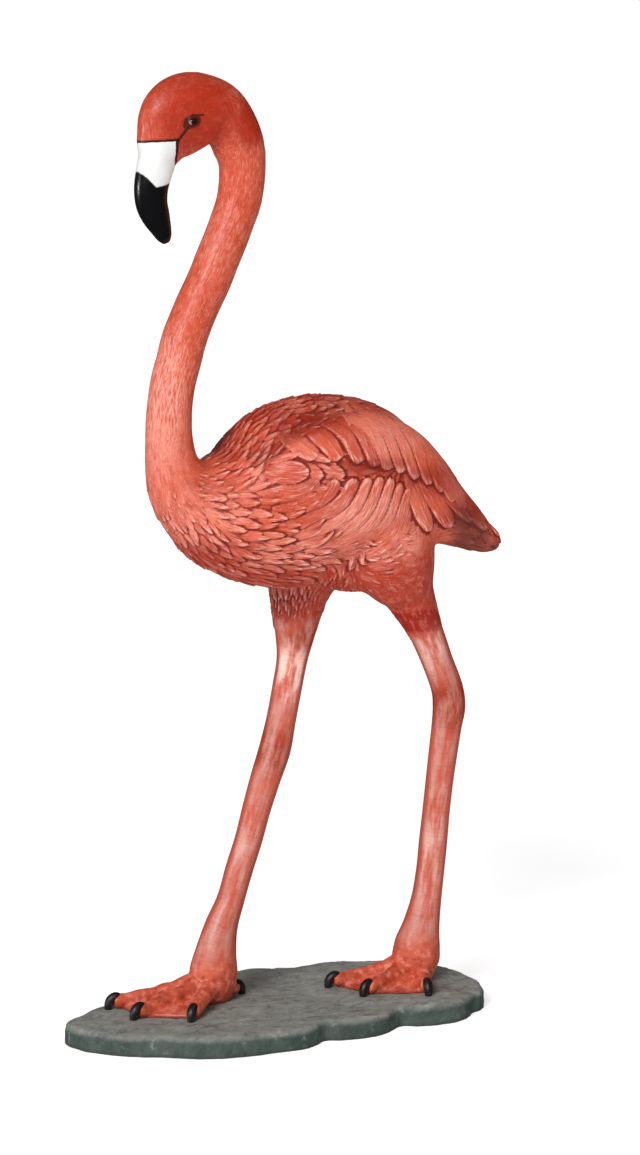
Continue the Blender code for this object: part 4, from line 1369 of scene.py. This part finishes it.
def figurePaint():
    paint = Paint("painted_coral_resin_detail")
    wobble = paint.noise(paint.place, 160, 3, 0.6)
    x, _, z = paint.parts(paint.place)
    x = paint.math("MULTIPLY_ADD", wobble, faceLines["wobble"], x)
    z = paint.math("MULTIPLY_ADD", wobble, faceLines["wobble"], z)
    strand = paint.value("strand", "Vector")
    tone = paint.value("tone")
    patches = paint.noise(paint.place, figureFinish["patches"], 3, 0.6)
    legPlace = paint.value("legPlace", "Vector")
    rings = paint.noise(paint.scaled(legPlace, figureFinish["legRings"]), 1, 3, 0.6)
    legs = paint.value("legs")
    colour = featherColour(paint, z, strand, tone, patches)
    colour = paint.mix(legs, colour, legsColour(paint, z, legPlace, rings, patches))
    colour, bill = faceColour(paint, x, z, colour)

    roughness = paint.math("MULTIPLY_ADD", patches, *figureFinish["roughness"])
    roughness = paint.math("MULTIPLY_ADD", bill, figureFinish["billGloss"], roughness)
    paint.surface.inputs["Specular IOR Level"].default_value = figureFinish["specular"]
    paint.surface.inputs["Coat Weight"].default_value = figureFinish["coat"]
    paint.surface.inputs["Coat Roughness"].default_value = figureFinish["coatRoughness"]
    across, along, _ = paint.parts(strand)
    close, length = figureFinish["barbs"]
    slant = paint.math("MULTIPLY_ADD", paint.math("ABSOLUTE", across), figureFinish["barbSlant"], along)
    slant = paint.math("MULTIPLY", slant, close)
    barbs = paint.noise(paint.joined(slant, paint.math("MULTIPLY", across, length), tone), 1, 2, 0.6)
    barbs = paint.math("MULTIPLY", barbs, paint.math("SUBTRACT", 1, legs))
    height = paint.math("ADD", barbs, paint.math("MULTIPLY", rings, legs))
    height = paint.math("MULTIPLY", height, paint.math("SUBTRACT", 1, bill))
    return paint.finish(colour, roughness, paint.bump(height, figureFinish["barbDepth"], 0.6))


def clawPaint():
    paint = Paint("claw_black")
    grain = paint.noise(paint.scaled(paint.place, (1, 1, 0.25)), 900, 3, 0.6)
    colour = paint.mix(paint.eased(grain, 0.5, 0.8), colours["clawBlack"], colours["clawWear"])
    return paint.finish(colour, paint.math("MULTIPLY_ADD", grain, 0.3, 0.3), paint.bump(grain, 0.0004, 0.5))


def eyePaint():
    paint = Paint("eye_gloss")
    grain = paint.noise(paint.place, 900, 2)
    colour = paint.mix(paint.eased(grain, 0.4, 0.7), colours["eyeBlack"], colours["eyeBrown"])
    x, _, z = paint.parts(paint.place)
    front = paint.eased(paint.math("MULTIPLY_ADD", z, 0.5, x), *eyes["front"])
    colour = paint.mix(front, colour, colours["eyePale"])
    return paint.finish(colour, 0.08)


def stonePaint():
    paint = Paint("painted_grey_resin_detail")
    _, _, z = paint.parts(paint.place)
    grain = paint.noise(paint.scaled(paint.place, (1, 1.6, 1)), 70, 6, 0.66, 0.4)
    speckle = paint.noise(paint.place, 420, 3, 0.7)
    patches = paint.noise(paint.scaled(paint.place, (1, 2.2, 1)), 11, 4, 0.6, 1.2)
    scuffs = paint.noise(paint.scaled(paint.place, (1, 2.6, 1)), 22, 5, 0.6, 2.5)
    edge = paint.math("MULTIPLY_ADD", patches, 0.012, z)
    sides = paint.eased(edge, 0.031, 0.021)
    colour = paint.mix(paint.eased(patches, 0.42, 0.7, 0.5), colours["stoneTop"], colours["stoneBrown"])
    colour = paint.mix(paint.eased(scuffs, 0.54, 0.72, 0.4), colour, colours["stonePale"])
    colour = paint.mix(paint.eased(grain, 0.5, 0.36, 0.4), colour, colours["stoneDark"])
    colour = paint.mix(paint.eased(grain, 0.58, 0.72, 0.35), colour, colours["stonePale"])
    side = paint.mix(paint.eased(patches, 0.4, 0.65), colours["stoneSide"], colours["stoneTeal"])
    side = paint.mix(paint.eased(grain, 0.5, 0.34, 0.6), side, colours["stoneDark"])
    side = paint.mix(paint.eased(grain, 0.56, 0.76, 0.35), side, colours["stonePale"])
    colour = paint.mix(sides, colour, side)
    # painted shade along the slab's foot, next to the floor
    colour = paint.mix(paint.eased(z, 0.005, 0.001, 0.7), colour, colours["stoneDark"])
    colour = paint.mix(paint.eased(speckle, 0.62, 0.78, 0.2), colour, colours["stonePale"])
    height = paint.math("ADD", grain, paint.math("MULTIPLY", speckle, 0.25))
    height = paint.math("MULTIPLY_ADD", scuffs, 1.2, height)
    return paint.finish(colour, paint.math("MULTIPLY_ADD", grain, 0.25, 0.6), paint.bump(height, 0.002, 0.8))


base = {
    "thickness": 26,
    "edgeRound": 10,
    "turns": 12,  # segments between two points of the outline, and across the rounded edge
    "edgeTurns": 6,
    "dip": 2.2,
    "waveSpan": 1000,
    "voxel": 2.2,
    "padReach": 14,
    "padEdge": 18,
    "lumps": 16,  # sizes of the broken stone's lumps and grit
    "lumpShape": (0.8, 2.1, 5),  # how fast they fade, how much finer each is, and how many there are
    "lumpDepth": 0.9,
    "deepest": 1.6,
    "grit": 3.2,
    "gritDepth": 0.35,
    "padShare": 0.25,  # how much of it is left beside the feet
    "triangles": 90000,
}
# The slab's outline on the ground, from the front end along the bird's left side.
slabOutline = [
    (-300, 47),
    (-299, 20),
    (-285, -7),
    (-259, -34),
    (-227, -57),
    (-190, -84),
    (-157, -96),
    (-106, -104),
    (-78, -106),
    (-60, -100),
    (-48, -93),
    (-30, -100),
    (2, -107),
    (28, -103),
    (44, -94),
    (54, -90),
    (72, -100),
    (97, -107),
    (124, -106),
    (144, -95),
    (152, -88),
    (168, -82),
    (183, -62),
    (190, -20),
    (184, 30),
    (156, 68),
    (118, 92),
    (74, 112),
    (38, 113),
    (14, 119),
    (-8, 131),
    (-32, 133),
    (-122, 110),
    (-226, 86),
    (-268, 70),
]
# Waves of the slab's top: turns per metre along x and y, and a phase.
slabWaves = [(5, 3, 0.4), (-3.5, 7, 1.9), (9, -4.5, 3.1), (2, 11, 5.0)]


def makeBase():
    curve = bpy.data.curves.new("slab", "CURVE")
    curve.dimensions = "2D"
    curve.fill_mode = "BOTH"
    curve.resolution_u = base["turns"]
    depth = base["thickness"] + 2 * base["edgeRound"]
    curve.extrude = depth / 2 - base["edgeRound"]
    curve.bevel_depth = base["edgeRound"]
    curve.bevel_resolution = base["edgeTurns"]
    curve.offset = -base["edgeRound"]
    spline = curve.splines.new("BEZIER")
    spline.bezier_points.add(len(slabOutline) - 1)
    spline.use_cyclic_u = True
    for point, (x, y) in zip(spline.bezier_points, slabOutline):
        point.co = (x, y, 0)
        point.handle_left_type = point.handle_right_type = "AUTO"
    drawn = bpy.data.objects.new("slab", curve)
    bpy.context.scene.collection.objects.link(drawn)
    bpy.context.view_layer.update()
    mesh = bpy.data.meshes.new_from_object(drawn.evaluated_get(bpy.context.evaluated_depsgraph_get()))
    bpy.data.objects.remove(drawn, do_unlink=True)
    body = bmesh.new()
    body.from_mesh(mesh)
    bmesh.ops.remove_doubles(body, verts=body.verts, dist=0.01)
    bmesh.ops.translate(body, verts=body.verts, vec=(0, 0, base["thickness"] - depth / 2))
    piece = newPiece("rock_slab", body)
    voxelSkin(piece, base["voxel"])
    points = meshPoints(piece)
    normals = np.empty(points.size)
    piece.data.vertex_normals.foreach_get("vector", normals)
    normals = normals.reshape(-1, 3)
    free = awayFromFeet(points[:, :2])
    wave = np.zeros(len(points))
    for along, across, phase in slabWaves:
        turns = (along * points[:, 0] + across * points[:, 1]) / base["waveSpan"]
        wave += np.cos(math.tau * turns + phase) / len(slabWaves)
    sunk = np.maximum(0, base["thickness"] - points[:, 2])
    fade = np.clip(1 - sunk / (base["edgeRound"] / 2), 0, 1)
    points[:, 2] -= base["dip"] * free * (1 + wave) / 2 * fade
    rough = np.array([noise.fractal(Vector(point) / base["lumps"], *base["lumpShape"]) for point in points])
    grit = np.array([noise.noise(Vector(point) / base["grit"]) for point in points])
    bite = np.clip(0.9 - rough, 0, base["deepest"]) * base["lumpDepth"] + base["gritDepth"] * (1 - grit)
    bite *= base["padShare"] + (1 - base["padShare"]) * free
    bite *= np.clip(1.1 - fade * (1 - free), 0, 1)
    points -= normals * bite[:, None]
    movePoints(piece, points)
    cutFlat(piece, 0)
    thinOut(piece, base["triangles"])
    return piece


def awayFromFeet(places):  # 0 under the feet and 1 well clear of them
    least = np.full(len(places), 1e6)
    for plan in (rightFoot, leftFoot):
        start = np.array(plan["root"], float)
        for heading, length in plan["toes"] + [plan["spur"]]:
            toe = np.array(wayOf(heading)[:2]) * (length + feet["claw"][-1][0])
            offsets = places - start
            along = np.clip(offsets @ toe / np.dot(toe, toe), 0, 1)
            least = np.minimum(least, np.linalg.norm(offsets - along[:, None] * toe, axis=1))
    return np.clip((least - base["padReach"]) / base["padEdge"], 0, 1)


def makeEyes():
    body = bmesh.new()
    x, y, z = eyes["centre"]
    for side in (1, -1):
        around, along = eyes["segments"]
        made = bmesh.ops.create_uvsphere(body, u_segments=around, v_segments=along, radius=1)
        bmesh.ops.scale(body, verts=made["verts"], vec=eyes["ball"])
        bmesh.ops.translate(body, verts=made["verts"], vec=(x, (y + eyes["proud"]) * side, z))
    return newPiece("eyes", body)


def placed(piece, material, rise):  # from millimetres above the soles to metres above the ground
    points = meshPoints(piece)
    points[:, 2] += rise
    points *= figure["unit"]
    movePoints(piece, np.clip(points, *cadBox))
    piece.data.materials.clear()
    piece.data.materials.append(material)
    bpy.ops.object.select_all(action="DESELECT")
    bpy.context.view_layer.objects.active = piece
    piece.select_set(True)
    bpy.ops.object.shade_smooth()
    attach(piece, "root")
    return piece


flamingo = placed(makeFigure(), figurePaint(), figure["soleHeight"])
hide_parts("flamingo")
report("figure", len(flamingo.data.polygons))
clawPiece = placed(claws(), clawPaint(), figure["soleHeight"])
eyePiece = placed(makeEyes(), eyePaint(), figure["soleHeight"])
rock = placed(makeBase(), stonePaint(), 0)
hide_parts("rock_base")
report("base", len(rock.data.polygons))

studio = {
    "floor": 80.0,
    "glow": 0.55,
    "daylight": 0.16,
    "glints": 0.05,
    # Wide soft lamps: turn about x, y and z, strength, and how wide each looks.
    "lamps": [
        ("key", (57, 0, -54), 2.6, 25),
        ("fill", (66, 0, 10), 0.4, 60),
        ("top", (8, 0, 0), 0.15, 60),
        ("back", (66, 0, 140), 0.4, 60),
        ("glint", (88, 0, -108), 0.9, 9),
    ],
    "camera": (-1.6, -2.771, 1.0),
    "azimuth": -30,
    "pitch": -8.8,
    "lens": 90.27,
    "floorDrop": 0.0005,
}


def whiteGlow(nodes, strength):
    white = nodes.new("ShaderNodeBackground")
    white.inputs["Color"].default_value = (1, 1, 1, 1)
    white.inputs["Strength"].default_value = strength
    return white.outputs[0]


def makeStudio():
    bpy.ops.object.select_all(action="DESELECT")
    bpy.ops.mesh.primitive_plane_add(size=studio["floor"], location=(0, 0, -studio["floorDrop"]))
    floor = bpy.context.object
    floor.name = "floor"
    floor.visible_glossy = False
    paint = Paint("pale_floor")
    paint.surface.inputs["Emission Color"].default_value = (1, 1, 1, 1)
    paint.surface.inputs["Emission Strength"].default_value = studio["glow"]
    floor.data.materials.append(paint.finish((0.8, 0.8, 0.8), 0.8))
    world = bpy.data.worlds.new("studio")
    world.use_nodes = True
    nodes, links = world.node_tree.nodes, world.node_tree.links
    nodes.remove(nodes["Background"])
    rays = nodes.new("ShaderNodeLightPath").outputs
    glow = whiteGlow(nodes, studio["daylight"])  # dimmer in reflections, and plain white behind it all
    for ray, strength in (("Is Glossy Ray", studio["glints"]), ("Is Camera Ray", 1)):
        either = nodes.new("ShaderNodeMixShader")
        links.new(rays[ray], either.inputs[0])
        links.new(glow, either.inputs[1])
        links.new(whiteGlow(nodes, strength), either.inputs[2])
        glow = either.outputs[0]
    links.new(glow, nodes["World Output"].inputs["Surface"])
    bpy.context.scene.world = world
    for name, turn, strength, spread in studio["lamps"]:
        light = bpy.data.lights.new(name, "SUN")
        light.energy = strength
        light.angle = math.radians(spread)
        lamp = bpy.data.objects.new(name, light)
        lamp.visible_glossy = name in ("key", "glint")
        lamp.visible_diffuse = name != "glint"
        lamp.rotation_euler = [math.radians(part) for part in turn]
        bpy.context.scene.collection.objects.link(lamp)
    camera = bpy.data.objects.new("camera", bpy.data.cameras.new("camera"))
    camera.data.sensor_fit = "VERTICAL"
    camera.data.sensor_height = 36
    camera.data.lens = studio["lens"]
    camera.location = studio["camera"]
    camera.rotation_euler = (math.radians(90 + studio["pitch"]), 0, math.radians(studio["azimuth"]))
    bpy.context.scene.collection.objects.link(camera)
    bpy.context.scene.camera = camera
    bpy.context.scene.view_settings.view_transform = "Standard"


makeStudio()
